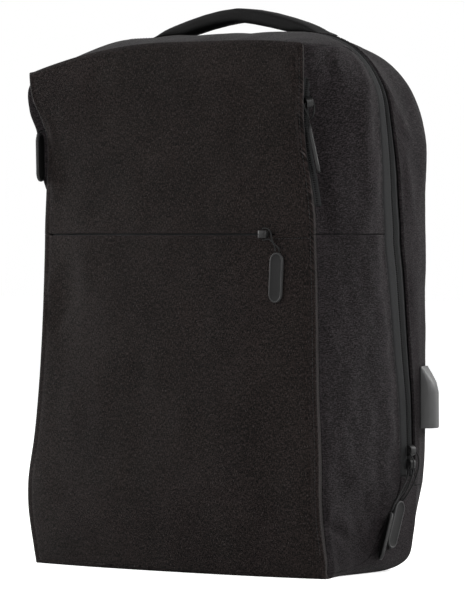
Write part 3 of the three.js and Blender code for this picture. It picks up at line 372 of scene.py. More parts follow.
def crease(p, q, start, end, width, height):
    # a ridge or a valley along a straight line that fades out at both ends
    a, b = np.array(start, float), np.array(end, float)
    way = b - a
    t = ((p - a[0]) * way[0] + (q - a[1]) * way[1]) / way.dot(way)
    off = np.hypot(p - a[0] - np.clip(t, 0, 1) * way[0], q - a[1] - np.clip(t, 0, 1) * way[1])
    fade = np.sin(math.pi * np.clip(t, 0, 1)) ** 0.7
    return height * np.exp(-((off / width) ** 2)) * fade


def meshFrom(name, positions, quads, uv=None):
    mesh = bpy.data.meshes.new(name)
    faces = quads if isinstance(quads, list) else quads.tolist()
    mesh.from_pydata((np.asarray(positions).reshape(-1, 3) * mm).tolist(), [], faces)
    if uv is not None:
        layer = mesh.uv_layers.new(name="cloth")
        loops = np.zeros(len(mesh.loops), np.int32)
        mesh.loops.foreach_get("vertex_index", loops)
        layer.data.foreach_set("uv", (np.asarray(uv).reshape(-1, 2)[loops] * mm).ravel())
    mesh.shade_smooth()
    item = bpy.data.objects.new(name, mesh)
    bpy.context.scene.collection.objects.link(item)
    return item


def gridQuads(rows, cols, start=0):
    i, j = np.meshgrid(np.arange(rows - 1), np.arange(cols - 1), indexing="ij")
    a = (start + i * cols + j).ravel()
    return np.stack([a, a + 1, a + cols + 1, a + cols], -1)


def applyModifiers(item):
    graph = bpy.context.evaluated_depsgraph_get()
    mesh = bpy.data.meshes.new_from_object(item.evaluated_get(graph))
    item.modifiers.clear()
    item.data = mesh


def readPoints(mesh):
    points = np.zeros(len(mesh.vertices) * 3)
    mesh.vertices.foreach_get("co", points)
    return points.reshape(-1, 3)


def weld(item, distance=0.00002):
    item.modifiers.new("weld", "WELD").merge_threshold = distance
    applyModifiers(item)


def wall(item, thick):
    solid = item.modifiers.new("wall", "SOLIDIFY")
    solid.thickness = thick * mm
    solid.offset = -1
    solid.use_even_offset = False
    return solid


def layFlat(item):
    # applies the wall, then lifts whatever reaches below the floor up to it
    applyModifiers(item)
    points = readPoints(item.data)
    points[:, 2] = np.maximum(points[:, 2], 0)
    item.data.vertices.foreach_set("co", points.ravel())


def put(item, node, material, also=()):
    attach(item, "root")
    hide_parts(node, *also)
    item.data.materials.clear()
    item.data.materials.append(material)
    return item


def extra(item, material):
    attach(item, "root")
    item.data.materials.clear()
    item.data.materials.append(material)
    return item


# ---- panels of the skin
rollSteps = np.array([0.0, 0.12, 0.35, 0.7, 1.0])     # shares of the roll's radius


def rollEdge(points, uv, axis, atEnd, radius):
    # rounds a seam edge under: new rows next to it sink by a quarter circle of the given radius
    points = np.moveaxis(points, axis, 0)
    uv = np.moveaxis(uv, axis, 0)
    normal = np.moveaxis(gridNormals(np.moveaxis(points, 0, axis)), axis, 0)
    if atEnd:
        points, uv, normal = points[::-1], uv[::-1], normal[::-1]
    step = np.linalg.norm(points[1] - points[0], axis=1).mean()
    share = np.minimum(rollSteps * radius / step, 0.95)[:, None, None]
    sink = radius * (1 - np.sqrt(1 - (1 - rollSteps) ** 2))[:, None, None]
    rows = mix(points[:1], points[1:2], share) - normal[:1] * sink
    marks = mix(uv[:1], uv[1:2], share)
    points = np.concatenate([rows, points[1:]])
    uv = np.concatenate([marks, uv[1:]])
    if atEnd:
        points, uv = points[::-1], uv[::-1]
    return np.moveaxis(points, 0, axis), np.moveaxis(uv, 0, axis)


def slice2(start, stop, lineFrom, lineTo):
    # a part of the fine skin between two fine stations and two lines; stations may wrap past zero
    last = dense.shape[0] - 1
    ids = np.arange(start, stop + 1) % last
    return dense[ids][:, lineStart[lineOf[lineFrom]]:lineStart[lineOf[lineTo]] + 1], ids


def gridUv(points):
    u, v = gridLengths(points)
    return np.stack(np.meshgrid(u, v, indexing="ij"), -1)


def pucker(along, away, height, length, reach, seed):
    # short ripples across a seam that die away from it
    drift = softWrinkles(along, 0 * along, 2.0, 60, 20, seed, waves=8)
    return height * np.sin(2 * math.pi * along / length + drift) * np.exp(-away / reach)


rightRow = [stationStart[firstSide + 1 + i] for i in range(len(sideTable))]
rightEar = stationStart[lastSide]
leftEar = stationStart[lastSide + 12]
leftRow = [stationStart[lastSide + 13 + len(sideTable) - 1 - i] for i in range(len(sideTable))]
rightFoot = stationStart[firstSide]
leftFoot = stationStart[lastSide + 13 + len(sideTable)]
loop = dense.shape[0] - 1
lowSeam, highSeam = 11, 12          # rows below and above the pocket seam


def closeSeam(points, closed, up):
    # draws a panel's edge to the middle of the seam where it is sewn shut
    edge = body["seamHeight"] + up * body["slitHeight"] / 2
    near = np.exp(-np.abs(points[..., 2] - edge) / 5)
    moved = points.copy()
    moved[..., 2] -= up * closed * near * (body["slitHeight"] / 2 - 0.15)
    return moved


# ---- front panels
front = {"wrinkle": 0.5, "longest": 120, "shortest": 28, "wall": 1.1, "lip": 0.45}
faceShares = np.array([-1, *acrossLeft, 0, *acrossRight[::-1], 1], float)
faceKnotsX = faceShares * body["halfWidth"] * 0.95
faceCounts = np.concatenate([leftCounts, acrossCounts[::-1]])


def faceGrid():
    # the rim's four sides with the crowned rows between them, made fine, then fitted to the fine rim
    rows = dict(zip(rowColumns, sideTable.T[:, :, None]))
    across = faceShares[None, :]
    half = body["halfWidth"] * rows["wide"] - 0.9 * body["edgeFold"]
    swell = frontSwell(across, rows["up"], rows["swell"])
    y = -body["halfDepth"] * rows["fore"] - 0.75 * body["edgeFold"] - swell
    z = rowHeight(rows["up"], body["panelHeight"]) - droop(across) * droopShare(rows["up"])
    z = z + rows["shift"] * body["slitHeight"] / 2
    inner = np.stack(np.broadcast_arrays(across * half, y, z), -1)
    rim = control[:, 0]
    floorIds = [int(np.argmin(np.where((regions == "floor") | (regions == "foot"),
                                       np.abs(acrossOf - s), 9))) for s in faceShares]
    topIds = [int(np.argmin(np.where((regions == "top") | (regions == "ear"),
                                     np.abs(acrossOf - s), 9))) for s in faceShares]
    grid = np.concatenate([rim[floorIds][None], inner, rim[topIds][None]])
    knots = np.concatenate([[0], np.cumsum(np.maximum(stationStep[firstSide:lastSide], 0.4))])
    fine = curveThrough(grid, knots, finerKnots(knots, sideCounts))
    fine = curveThrough(fine.transpose(1, 0, 2), faceKnotsX, finerKnots(faceKnotsX, faceCounts))
    fine = fine.transpose(1, 0, 2)
    right = dense[rightFoot:rightEar + 1, 0]
    left = dense[leftEar:leftFoot + 1, 0][::-1]
    top = dense[rightEar:leftEar + 1, 0][::-1]
    low = dense[np.arange(leftFoot, loop + rightFoot + 1) % loop, 0]
    u = np.linspace(0, 1, fine.shape[1])[None, :, None]
    v = np.linspace(0, 1, fine.shape[0])[:, None, None]
    gapL, gapR = (left - fine[:, 0])[:, None], (right - fine[:, -1])[:, None]
    gapB, gapT = (low - fine[0])[None], (top - fine[-1])[None]
    corners = (mix(gapB[:, :1], gapT[:, :1], v) * (1 - u)) + (mix(gapB[:, -1:], gapT[:, -1:], v) * u)
    return fine + mix(gapL, gapR, u) + mix(gapB, gapT, v) - corners


face = faceGrid()
faceRowStart = np.concatenate([[0], np.cumsum(sideCounts)])
print("face", face.shape)


def faceDistance(shape):
    # how far each point of the face grid is from its nearest edge, in millimetres
    points = face
    width = np.linalg.norm(np.diff(points, axis=1), axis=2)
    right = np.concatenate([np.zeros((shape[0], 1)), np.cumsum(width, 1)], 1)
    tall = np.linalg.norm(np.diff(points, axis=0), axis=2)
    up = np.concatenate([np.zeros((1, shape[1])), np.cumsum(tall, 0)])
    return np.minimum(np.minimum(right, right[:, -1:] - right), np.minimum(up + 30, up[-1:] - up))


def dressFace():
    # soft wrinkles, the drag lines from the ears and the row where the ridge is sewn
    away = faceDistance(face.shape)
    x, z = face[..., 0], face[..., 2]
    soft = softWrinkles(x, z, front["wrinkle"], front["longest"], front["shortest"], 11, lean=0.2)
    height = soft * smoothStep(away / 22)
    for start, end, width, tall in faceCreases:
        height = height + crease(x, z, start, end, width, tall) * smoothStep(away / 6)
    height = height - 0.45 * np.exp(-((away - 3.4) / 1.1) ** 2)
    dressed = face + gridNormals(face) * height[..., None]
    dressed[..., 2] = np.maximum(dressed[..., 2], 0.6 * smoothStep(away / 3))
    return dressed


# Creases of the front, as (x, z) ends, width and height.
faceCreases = [
    ((-136, 372), (-122, 338), 7, 1.6),
    ((-140, 330), (-118, 300), 9, 1.0),
    ((-141, 236), (-116, 206), 11, 1.3),
    ((-139, 215), (-112, 196), 9, -1.0),
    ((118, 408), (139, 372), 8, 1.2),
    ((108, 372), (132, 332), 11, -0.8),
    ((139, 96), (104, 44), 12, 1.3),
    ((128, 70), (84, 26), 13, -1.1),
    ((-143, 88), (-108, 52), 13, 0.9),
    ((-60, 150), (30, 128), 22, -0.9),
    ((-20, 330), (70, 350), 24, 0.8),
]


def lipRows(edge, uvEdge, up, radius, deep=5.0):
    # rows that turn a slit's edge in: a quarter circle, then straight back behind the panel
    turns = np.radians([25, 50, 75, 90])[:, None]
    y = np.concatenate([radius * (1 - np.cos(turns)), [[radius + deep]]])
    z = np.concatenate([radius * np.sin(turns), [[radius]]])
    rows = edge[None] + np.stack(np.broadcast_arrays(0 * y, y, -up * z), -1)
    marks = uvEdge[None] + np.stack(np.broadcast_arrays(0 * y, -up * (y + z)), -1)
    return rows, marks


def frontPiece(name, up):
    # one half of the front: its part of the face, its lip at the slit and the ridge round the rest
    dressed = dressFace()
    if up > 0:
        part = dressed[faceRowStart[highSeam + 1]:]
        start, stop = rightRow[highSeam], leftRow[highSeam]
    else:
        part = dressed[:faceRowStart[lowSeam + 1] + 1]
        start, stop = leftRow[lowSeam], loop + rightRow[lowSeam]
    across = part[..., 0] / np.abs(part[..., 0]).max(1, keepdims=True)
    closed = smoothStep((across - slitEnds[1]) / 0.03) + smoothStep((slitEnds[0] - across) / 0.012)
    part = closeSeam(part, closed, up)
    uv = np.stack([part[..., 0], part[..., 2]], -1)
    edgeRow = 0 if up > 0 else -1
    rows, marks = lipRows(part[edgeRow], uv[edgeRow], up, front["lip"])
    if up > 0:
        part = np.concatenate([rows[::-1], part])
        uv = np.concatenate([marks[::-1], uv])
    else:
        part = np.concatenate([part, rows])
        uv = np.concatenate([uv, marks])
    ridge, ids = slice2(start, stop, "rim", "groove")
    ridge = closeSeam(ridge, 1.0, up)
    length = np.cumsum(np.linalg.norm(np.diff(ridge, axis=1), axis=2), 1)
    length = np.concatenate([np.zeros((len(ids), 1)), length], 1)[..., None]
    outX = np.where(np.abs(ridge[:, :1, 0]) > 136, np.sign(ridge[:, :1, 0]), 0)
    outZ = np.where(outX == 0, np.sign(ridge[:, :1, 2] - 200), 0)
    ridgeUv = ridge[:, :1, [0, 2]] + np.stack([outX, outZ], -1) * length
    count = part.shape[0] * part.shape[1]
    quads = np.concatenate([
        gridQuads(*part.shape[:2]),
        gridQuads(*ridge.shape[:2], start=count),
    ])
    item = meshFrom(name, np.concatenate([part.reshape(-1, 3), ridge.reshape(-1, 3)]), quads,
                    np.concatenate([uv.reshape(-1, 2), ridgeUv.reshape(-1, 2)]))
    weld(item)
    wall(item, front["wall"])
    layFlat(item)
    return item


# ---- materials
def newMaterial(name):
    material = bpy.data.materials.new(name)
    material.use_nodes = True
    nodes = material.node_tree.nodes
    nodes.clear()
    out = nodes.new("ShaderNodeOutputMaterial")
    shader = nodes.new("ShaderNodeBsdfPrincipled")
    material.node_tree.links.new(shader.outputs["BSDF"], out.inputs["Surface"])
    return material, shader


def addNode(tree, kind, inputs=None, **settings):
    node = tree.nodes.new(kind)
    for key, value in settings.items():
        setattr(node, key, value)
    for key, value in (inputs or {}).items():
        if isinstance(value, bpy.types.NodeSocket):
            tree.links.new(value, node.inputs[key])
        else:
            node.inputs[key].default_value = value
    return node


def newGroup(name, inputs, outputs):
    # a node group with named float, vector or colour sockets
    tree = bpy.data.node_groups.new(name, "ShaderNodeTree")
    kinds = {"f": "NodeSocketFloat", "v": "NodeSocketVector", "c": "NodeSocketColor"}
    for label, kind in inputs:
        tree.interface.new_socket(label, in_out="INPUT", socket_type=kinds[kind])
    for label, kind in outputs:
        tree.interface.new_socket(label, in_out="OUTPUT", socket_type=kinds[kind])
    return tree, tree.nodes.new("NodeGroupInput"), tree.nodes.new("NodeGroupOutput")


def maths(tree, operation, a, b=0.0, c=0.0):
    node = tree.nodes.new("ShaderNodeMath")
    node.operation = operation
    for i, value in enumerate([a, b, c]):
        if isinstance(value, bpy.types.NodeSocket):
            tree.links.new(value, node.inputs[i])
        else:
            node.inputs[i].default_value = value
    return node.outputs[0]


def ramp(tree, factor, low, high):
    # 0 below the low value and 1 above the high one, smooth between
    node = addNode(tree, "ShaderNodeMapRange", {"Value": factor, "From Min": low, "From Max": high})
    node.interpolation_type = "SMOOTHSTEP"
    return node.outputs["Result"]


def heatherGroup():
    # threads both ways as stretched noise, pale and dark flecks on the strands, and their relief
    tree, given, made = newGroup(
        "heatherWeave",
        [("Vector", "v"), ("Thread", "f"), ("Streak", "f"), ("Base", "c"), ("Pale", "c"), ("Flecks", "f"),
         ("Level", "f")],
        [("Color", "c"), ("Height", "f"), ("Roughness", "f")])
    parts = addNode(tree, "ShaderNodeSeparateXYZ", {"Vector": given.outputs["Vector"]})
    u, v = parts.outputs[0], parts.outputs[1]
    fine = maths(tree, "DIVIDE", 1.0, given.outputs["Thread"])
    long = maths(tree, "DIVIDE", 1.0, given.outputs["Streak"])

    def strands(along, side, seed, detail, rough=0.6):
        place = addNode(tree, "ShaderNodeCombineXYZ", {
            0: maths(tree, "MULTIPLY", along, long), 1: maths(tree, "MULTIPLY", side, fine), 2: seed})
        noise = addNode(tree, "ShaderNodeTexNoise", {
            "Vector": place.outputs[0], "Scale": 1.0, "Detail": detail, "Roughness": rough})
        return noise.outputs["Fac"]

    warp = strands(v, u, 3.1, 3.0)
    weft = strands(u, v, 8.7, 2.0)
    flecked = addNode(tree, "ShaderNodeTexNoise", {
        "Vector": given.outputs["Vector"], "Scale": 900.0, "Detail": 2.0, "Roughness": 0.7}).outputs["Fac"]
    patches = addNode(tree, "ShaderNodeTexNoise", {
        "Vector": given.outputs["Vector"], "Scale": 14.0, "Detail": 3.0, "Roughness": 0.6}).outputs["Fac"]
    level = given.outputs["Level"]
    lit = maths(tree, "ADD", maths(tree, "MULTIPLY", warp, maths(tree, "SUBTRACT", 1.0, level)),
                maths(tree, "MULTIPLY", weft, level))
    lit = maths(tree, "ADD", lit, maths(tree, "MULTIPLY", maths(tree, "SUBTRACT", flecked, 0.5), 0.25))
    lit = maths(tree, "ADD", lit, maths(tree, "MULTIPLY", maths(tree, "SUBTRACT", patches, 0.5), 0.1))
    tone = ramp(tree, lit, 0.42, 0.62)
    shades = addNode(tree, "ShaderNodeMix", data_type="RGBA")
    tree.links.new(tone, shades.inputs["Factor"])
    tree.links.new(given.outputs["Base"], shades.inputs[6])
    tree.links.new(given.outputs["Pale"], shades.inputs[7])
    speck = ramp(tree, maths(tree, "ADD", maths(tree, "MULTIPLY", flecked, 0.5),
                             maths(tree, "MULTIPLY", warp, 0.5)), 0.585, 0.64)
    speckle = addNode(tree, "ShaderNodeMix", data_type="RGBA")
    tree.links.new(maths(tree, "MULTIPLY", speck, given.outputs["Flecks"]), speckle.inputs["Factor"])
    tree.links.new(shades.outputs[2], speckle.inputs[6])
    speckle.inputs[7].default_value = (0.17, 0.165, 0.17, 1)
    tree.links.new(speckle.outputs[2], made.inputs["Color"])
    tree.links.new(maths(tree, "ADD", lit, maths(tree, "MULTIPLY", weft, 0.3)), made.inputs["Height"])
    tree.links.new(maths(tree, "SUBTRACT", 0.98, maths(tree, "MULTIPLY", tone, 0.16)), made.inputs["Roughness"])
    return tree


def ribGroup():
    # even ribs across one direction, with noise over them, for tapes, webbing and cords
    tree, given, made = newGroup(
        "wovenRibs", [("Vector", "v"), ("Pitch", "f"), ("Base", "c"), ("Pale", "c")],
        [("Color", "c"), ("Height", "f")])
    parts = addNode(tree, "ShaderNodeSeparateXYZ", {"Vector": given.outputs["Vector"]})
    turn = maths(tree, "DIVIDE", 2 * math.pi, given.outputs["Pitch"])
    along = maths(tree, "SINE", maths(tree, "MULTIPLY", parts.outputs[0], turn))
    across = maths(tree, "SINE", maths(tree, "MULTIPLY", parts.outputs[1], turn))
    weave = maths(tree, "MULTIPLY_ADD", maths(tree, "MULTIPLY", along, across), 0.25, 0.5)
    noise = addNode(tree, "ShaderNodeTexNoise", {
        "Vector": given.outputs["Vector"], "Scale": 700.0, "Detail": 3.0}).outputs["Fac"]
    tone = maths(tree, "ADD", maths(tree, "MULTIPLY", weave, 0.7), maths(tree, "MULTIPLY", noise, 0.5))
    shades = addNode(tree, "ShaderNodeMix", data_type="RGBA")
    tree.links.new(ramp(tree, tone, 0.4, 0.85), shades.inputs["Factor"])
    tree.links.new(given.outputs["Base"], shades.inputs[6])
    tree.links.new(given.outputs["Pale"], shades.inputs[7])
    tree.links.new(shades.outputs[2], made.inputs["Color"])
    tree.links.new(tone, made.inputs["Height"])
    return tree


def grainGroup():
    # moulded grain: fine pits and a slow change of tone
    tree, given, made = newGroup(
        "mouldedGrain", [("Vector", "v"), ("Scale", "f"), ("Base", "c"), ("Pale", "c")],
        [("Color", "c"), ("Height", "f"), ("Roughness", "f")])
    pits = addNode(tree, "ShaderNodeTexNoise", {
        "Vector": given.outputs["Vector"], "Scale": given.outputs["Scale"], "Detail": 4.0}).outputs["Fac"]
    slow = addNode(tree, "ShaderNodeTexNoise", {
        "Vector": given.outputs["Vector"], "Scale": 60.0, "Detail": 2.0}).outputs["Fac"]
    shades = addNode(tree, "ShaderNodeMix", data_type="RGBA")
    tree.links.new(ramp(tree, maths(tree, "MULTIPLY_ADD", pits, 0.3, maths(tree, "MULTIPLY", slow, 0.7)), 0.3, 0.7),
                   shades.inputs["Factor"])
    tree.links.new(given.outputs["Base"], shades.inputs[6])
    tree.links.new(given.outputs["Pale"], shades.inputs[7])
    tree.links.new(shades.outputs[2], made.inputs["Color"])
    tree.links.new(pits, made.inputs["Height"])
    tree.links.new(maths(tree, "MULTIPLY_ADD", pits, 0.2, 0.4), made.inputs["Roughness"])
    return tree


heather = heatherGroup()
ribs = ribGroup()
grainShade = grainGroup()


def grey(value, warm=0.0):
    return (value * (1 + warm), value, value * (1 - warm), 1)


def placed(material, group, values, coordinates="uv"):
    tree = material.node_tree
    if coordinates == "uv":
        source = addNode(tree, "ShaderNodeUVMap", uv_map="cloth").outputs["UV"]
    else:
        source = addNode(tree, "ShaderNodeTexCoord").outputs["Object"]
    node = addNode(tree, "ShaderNodeGroup", node_tree=group)
    tree.links.new(source, node.inputs["Vector"])
    for key, value in values.items():
        node.inputs[key].default_value = value
    return node


def bumped(material, shader, height, strength, distance):
    bump = addNode(material.node_tree, "ShaderNodeBump", {
        "Strength": strength, "Distance": distance, "Height": height})
    material.node_tree.links.new(bump.outputs["Normal"], shader.inputs["Normal"])


def tinted(value, tint):
    return (*[value * t for t in tint], 1)


def heatherCloth(name, base, pale, flecks, swap, coordinates="uv", tint=(1, 1, 1)):
    # heather cloth; swap lets the level strands show more than the upright ones
    material, shader = newMaterial(name)
    tree = material.node_tree
    node = placed(material, heather, {
        "Thread": 0.0005, "Streak": 0.0024, "Base": tinted(base, tint), "Pale": tinted(pale, tint),
        "Flecks": flecks, "Level": 0.62 if swap else 0.4}, coordinates)
    tree.links.new(node.outputs["Color"], shader.inputs["Base Color"])
    tree.links.new(node.outputs["Roughness"], shader.inputs["Roughness"])
    bumped(material, shader, node.outputs["Height"], 0.7, 0.0005)
    shader.inputs["Sheen Weight"].default_value = 0.03
    shader.inputs["Sheen Roughness"].default_value = 0.5
    shader.inputs["Specular IOR Level"].default_value = 0.12
    return material


def ribbed(name, base, pale, pitch, coordinates="uv", roughness=0.8, warm=0.0):
    material, shader = newMaterial(name)
    node = placed(material, ribs, {"Pitch": pitch, "Base": grey(base, warm), "Pale": grey(pale, warm)},
                  coordinates)
    material.node_tree.links.new(node.outputs["Color"], shader.inputs["Base Color"])
    bumped(material, shader, node.outputs["Height"], 0.6, 0.0004)
    shader.inputs["Roughness"].default_value = roughness
    shader.inputs["Specular IOR Level"].default_value = 0.2
    return material


def moulded(name, base, pale, scale, metallic=0.0, bump=0.25, shine=0.25):
    material, shader = newMaterial(name)
    node = placed(material, grainShade, {"Scale": scale, "Base": grey(base), "Pale": grey(pale)}, "object")
    material.node_tree.links.new(node.outputs["Color"], shader.inputs["Base Color"])
    material.node_tree.links.new(node.outputs["Roughness"], shader.inputs["Roughness"])
    bumped(material, shader, node.outputs["Height"], bump, 0.0001)
    shader.inputs["Metallic"].default_value = metallic
    shader.inputs["Specular IOR Level"].default_value = shine
    return material


def rubberWithPaintedRimHighlight(name, base, rim):
    # dark rubber, smoother on the raised rim where the map's inset is small, and painted paler there as a highlight
    material, shader = newMaterial(name)
    tree = material.node_tree
    inset = addNode(tree, "ShaderNodeSeparateXYZ", {
        0: addNode(tree, "ShaderNodeUVMap", uv_map="cloth").outputs["UV"]}).outputs["X"]
    rimHighlightShare = ramp(tree, inset, 0.0017, 0.0012)
    node = placed(material, grainShade, {"Scale": 2500.0, "Base": grey(base), "Pale": grey(base * 1.4)}, "object")
    edge = addNode(tree, "ShaderNodeMix", data_type="RGBA")
    tree.links.new(rimHighlightShare, edge.inputs["Factor"])
    tree.links.new(node.outputs["Color"], edge.inputs[6])
    # the rim's colour is a painted highlight on the raised edge
    edge.inputs[7].default_value = grey(rim)
    tree.links.new(edge.outputs[2], shader.inputs["Base Color"])
    tree.links.new(maths(tree, "MULTIPLY_ADD", rimHighlightShare, -0.15, 0.55), shader.inputs["Roughness"])
    bumped(material, shader, node.outputs["Height"], 0.2, 0.0001)
    shader.inputs["Specular IOR Level"].default_value = 0.2
    return material


clothTone = {"frontBase": 0.001, "frontPale": 0.0145, "sideBase": 0.002, "sidePale": 0.0175, "flecks": 0.15}
frontCloth = heatherCloth("frontHeather", clothTone["frontBase"], clothTone["frontPale"],
                          clothTone["flecks"], False, tint=(1.34, 0.94, 0.86))
sideCloth = heatherCloth("sideHeather", clothTone["sideBase"], clothTone["sidePale"],
                         clothTone["flecks"], True, tint=(1.2, 0.96, 1.05))
tapeCloth = ribbed("zipTape", 0.008, 0.016, 0.0011, warm=-0.03)
coilDark = ribbed("zipCoil", 0.0003, 0.001, 0.0011, "object")
cordCloth = ribbed("pullCord", 0.006, 0.018, 0.0012, "object")
webCloth = ribbed("blackWebbing", 0.002, 0.008, 0.0016)
webPlain = ribbed("strapWebbing", 0.001, 0.004, 0.0016, "object")
meshCloth = ribbed("spacerMesh", 0.003, 0.01, 0.0032)
strapSoft = heatherCloth("strapHeather", 0.003, 0.014, 0.3, False, "object")
# tag rubber: dark 0.005, with a painted highlight of 0.024 on its raised rim
tagRubberRimHighlight = rubberWithPaintedRimHighlight("tagRubberRimHighlight", 0.005, 0.024)
blackPaint = moulded("blackPaint", 0.003, 0.006, 1500.0, metallic=0.3, bump=0.1, shine=0.5)
buckle = moulded("bucklePlastic", 0.004, 0.008, 1800.0)
socketPlastic = moulded("socketPlastic", 0.03, 0.04, 2200.0, bump=0.12, shine=0.5)
threadBlack = ribbed("sewingThread", 0.006, 0.02, 0.0009, "object", roughness=0.6)


# ---- the sewn panels
for name, node, up in [("frontUpperCloth", "front_panel_upper", 1), ("frontLowerCloth", "front_panel_lower", -1)]:
    put(frontPiece(name, up), node, frontCloth)
print("front panels")

# Creases of the sides, as (y, z) ends, width and height, and the seams' puckers.
sideCreases = [
    ((-66, 43), (-27, 28), 3.5, -2.2),
    ((-60, 335), (-55, 262), 5.5, -1.6),
    ((-48, 330), (-46, 275), 7, 0.9),
    ((-56, 414), (-42, 392), 5, 1.1),
    ((-46, 410), (-30, 380), 7, -0.8),
    ((-62, 120), (-20, 60), 14, 1.2),
    ((-58, 90), (-8, 46), 9, -1.6),
    ((-64, 60), (-30, 34), 8, 1.4),
    ((-30, 150), (14, 120), 16, -0.7),
]
rearCreases = [
    ((8, 394), (26, 366), 5, 1.5),
    ((22, 371), (44, 342), 4.5, 1.0),
    ((30, 350), (48, 268), 5, 0.9),
    ((40, 340), (60, 310), 9, -0.8),
    ((44, 250), (52, 180), 8, 0.6),
]


def skinPiece(name, start, stop, lineFrom, lineTo, rolls, creases=(), wrinkle=0.6, seed=1, wallThick=1.1,
              closeUp=0, across=False, tuckRows=None):
    # a part of the skin with soft wrinkles, its creases, and its edges rounded under at the seams
    points, ids = slice2(start, stop, lineFrom, lineTo)
    if closeUp:
        points = closeSeam(points, 1.0, closeUp)
    uv = gridUv(points)
    y, z, x = points[..., 1], points[..., 2], points[..., 0]
    flatP = x if across else y
    flatQ = y if across else z
    edgeAway = np.minimum(uv[..., 1], uv[..., 1].max() - uv[..., 1])
    height = softWrinkles(flatP * 1.6, flatQ, wrinkle, 90, 22, seed) * smoothStep(edgeAway / 12)
    height = height + pucker(uv[..., 0], edgeAway, 0.22, 8.0, 6.0, seed + 50)
    for begin, end, width, tall in creases:
        height = height + crease(flatP, flatQ, begin, end, width, tall) * smoothStep(edgeAway / 4)
    points = points + gridNormals(points) * height[..., None]
    for axis, atEnd, radius in rolls:
        points, uv = rollEdge(points, uv, axis, atEnd, radius)
    item = meshFrom(name, points, gridQuads(*points.shape[:2]), uv[..., ::-1])
    weld(item)
    wall(item, wallThick)
    return item


seamRoll = 1.3
zipRoll = 2.0
for side, hand, rows, ear, foot in [(1, "Right", rightRow, rightEar, rightFoot),
                                    (-1, "Left", leftRow, leftEar, leftFoot)]:
    node = hand.lower()
    upper = (rows[highSeam], ear) if side > 0 else (ear, rows[highSeam])
    lower = (rows[0], rows[lowSeam]) if side > 0 else (rows[lowSeam], rows[0])
    seamEnd = side < 0
    put(skinPiece("sideUpper" + hand, *upper, "groove", "zipFront",
                  [(0, seamEnd, seamRoll), (1, True, zipRoll)], sideCreases, seed=20 + side,
                  closeUp=1), "side_upper_" + node, sideCloth)
    put(skinPiece("sideLower" + hand, *lower, "groove", "zipFront",
                  [(0, not seamEnd, seamRoll), (0, seamEnd, seamRoll), (1, True, zipRoll)], sideCreases,
                  seed=30 + side, closeUp=-1), "side_lower_" + node, sideCloth)
put(skinPiece("topStripCloth", rightEar, leftEar, "groove", "zipFront", [(1, True, zipRoll)], wrinkle=0.4,
              seed=41, across=True), "top_strip", sideCloth)
put(skinPiece("rearGussetCloth", rightRow[4], leftRow[4], "zipRear", "backEdge",
              [(0, False, seamRoll), (0, True, seamRoll), (1, False, zipRoll), (1, True, seamRoll)],
              rearCreases, wrinkle=0.35, seed=43), "rear_gusset", sideCloth)
print("side panels")


def basePiece():
    # the underside and both lower rear sides in one, with the tips in front of the zip's lower ends
    grids = []
    rows = [(leftRow[4], loop + rightRow[4], "zipFront", "backEdge"),
            (leftRow[0], loop + rightRow[0], "groove", "zipFront"),
            (rightRow[4], rightRow[5], "zipFront", "zipRear"),
            (leftRow[5], leftRow[4], "zipFront", "zipRear")]
    for start, stop, lineA, lineB in rows:
        points, ids = slice2(start, stop, lineA, lineB)
        uv = gridUv(points)
        if lineB == "backEdge":
            y, z = points[..., 1], points[..., 2]
            away = np.minimum(uv[..., 0], uv[..., 0].max() - uv[..., 0])
            soft = softWrinkles(y * 1.4, z, 0.6, 80, 22, 61) * smoothStep(z / 14) * smoothStep(away / 9)
            points = points + gridNormals(points) * soft[..., None]
            points[..., 2] = np.maximum(points[..., 2], 0)
        grids.append((points, uv))
    count, positions, quads, marks = 0, [], [], []
    for points, uv in grids:
        positions.append(points.reshape(-1, 3))
        marks.append(uv.reshape(-1, 2)[:, ::-1])
        quads.append(gridQuads(*points.shape[:2], start=count))
        count += points.shape[0] * points.shape[1]
    item = meshFrom("baseCloth", np.concatenate(positions), np.concatenate(quads), np.concatenate(marks))
    weld(item)
    wall(item, 1.4)
    layFlat(item)
    return item


put(basePiece(), "base", sideCloth)


def backPiece():
    # rings from the rear edge to one point, padded out, with sewn channels between upright pads
    rim = dense[:-1, -1]
    middle = np.array([0, body["halfDepth"] + body["backPad"], mix(body["seamHeight"], body["baseHeight"], 0.25)])
    shares = np.linspace(0, 1, 46)[:-1]
    t = shares[None, :, None]
    points = mix(rim[:, None], middle[None, None], t)
    lift = np.sin(np.minimum(1, shares * 3) * math.pi / 2)[None]
    points[..., 1] = rim[:, 1:2] + (middle[1] - rim[:, 1:2]) * lift
    x, z = points[..., 0], points[..., 2]
    inset = smoothStep(shares * 4.5)[None]
    channel = np.exp(-(x / 7) ** 2) + np.exp(-((np.abs(x) - 62) / 5) ** 2) * 0.8
    for level in [150, 235, 320]:
        channel = channel + 0.7 * np.exp(-((z - level - 0.1 * np.abs(x)) / 5) ** 2) * smoothStep((np.abs(x) - 8) / 10)
    points[..., 1] -= 3.2 * np.minimum(channel, 1.1) * inset
    points[..., 1] -= 1.6 * np.exp(-((shares * 190 - 14) / 4) ** 2)[None]
    count = points.shape[0] * points.shape[1]
    rings = np.concatenate([points, points[:1]])
    quads = gridQuads(*rings.shape[:2])
    last = (np.arange(points.shape[0] + 1) * rings.shape[1]) + rings.shape[1] - 1
    tip = rings.shape[0] * rings.shape[1]
    fan = [[int(b), int(a), tip] for a, b in zip(last[:-1], last[1:])]
    positions = np.concatenate([rings.reshape(-1, 3), middle[None] - [[0, 3.2, 0]]])
    item = meshFrom("backPad", positions, quads.tolist() + fan, positions[:, [0, 2]])
    weld(item)
    wall(item, 5.0)
    return item


put(backPiece(), "back_panel", meshCloth)
print("base and back")


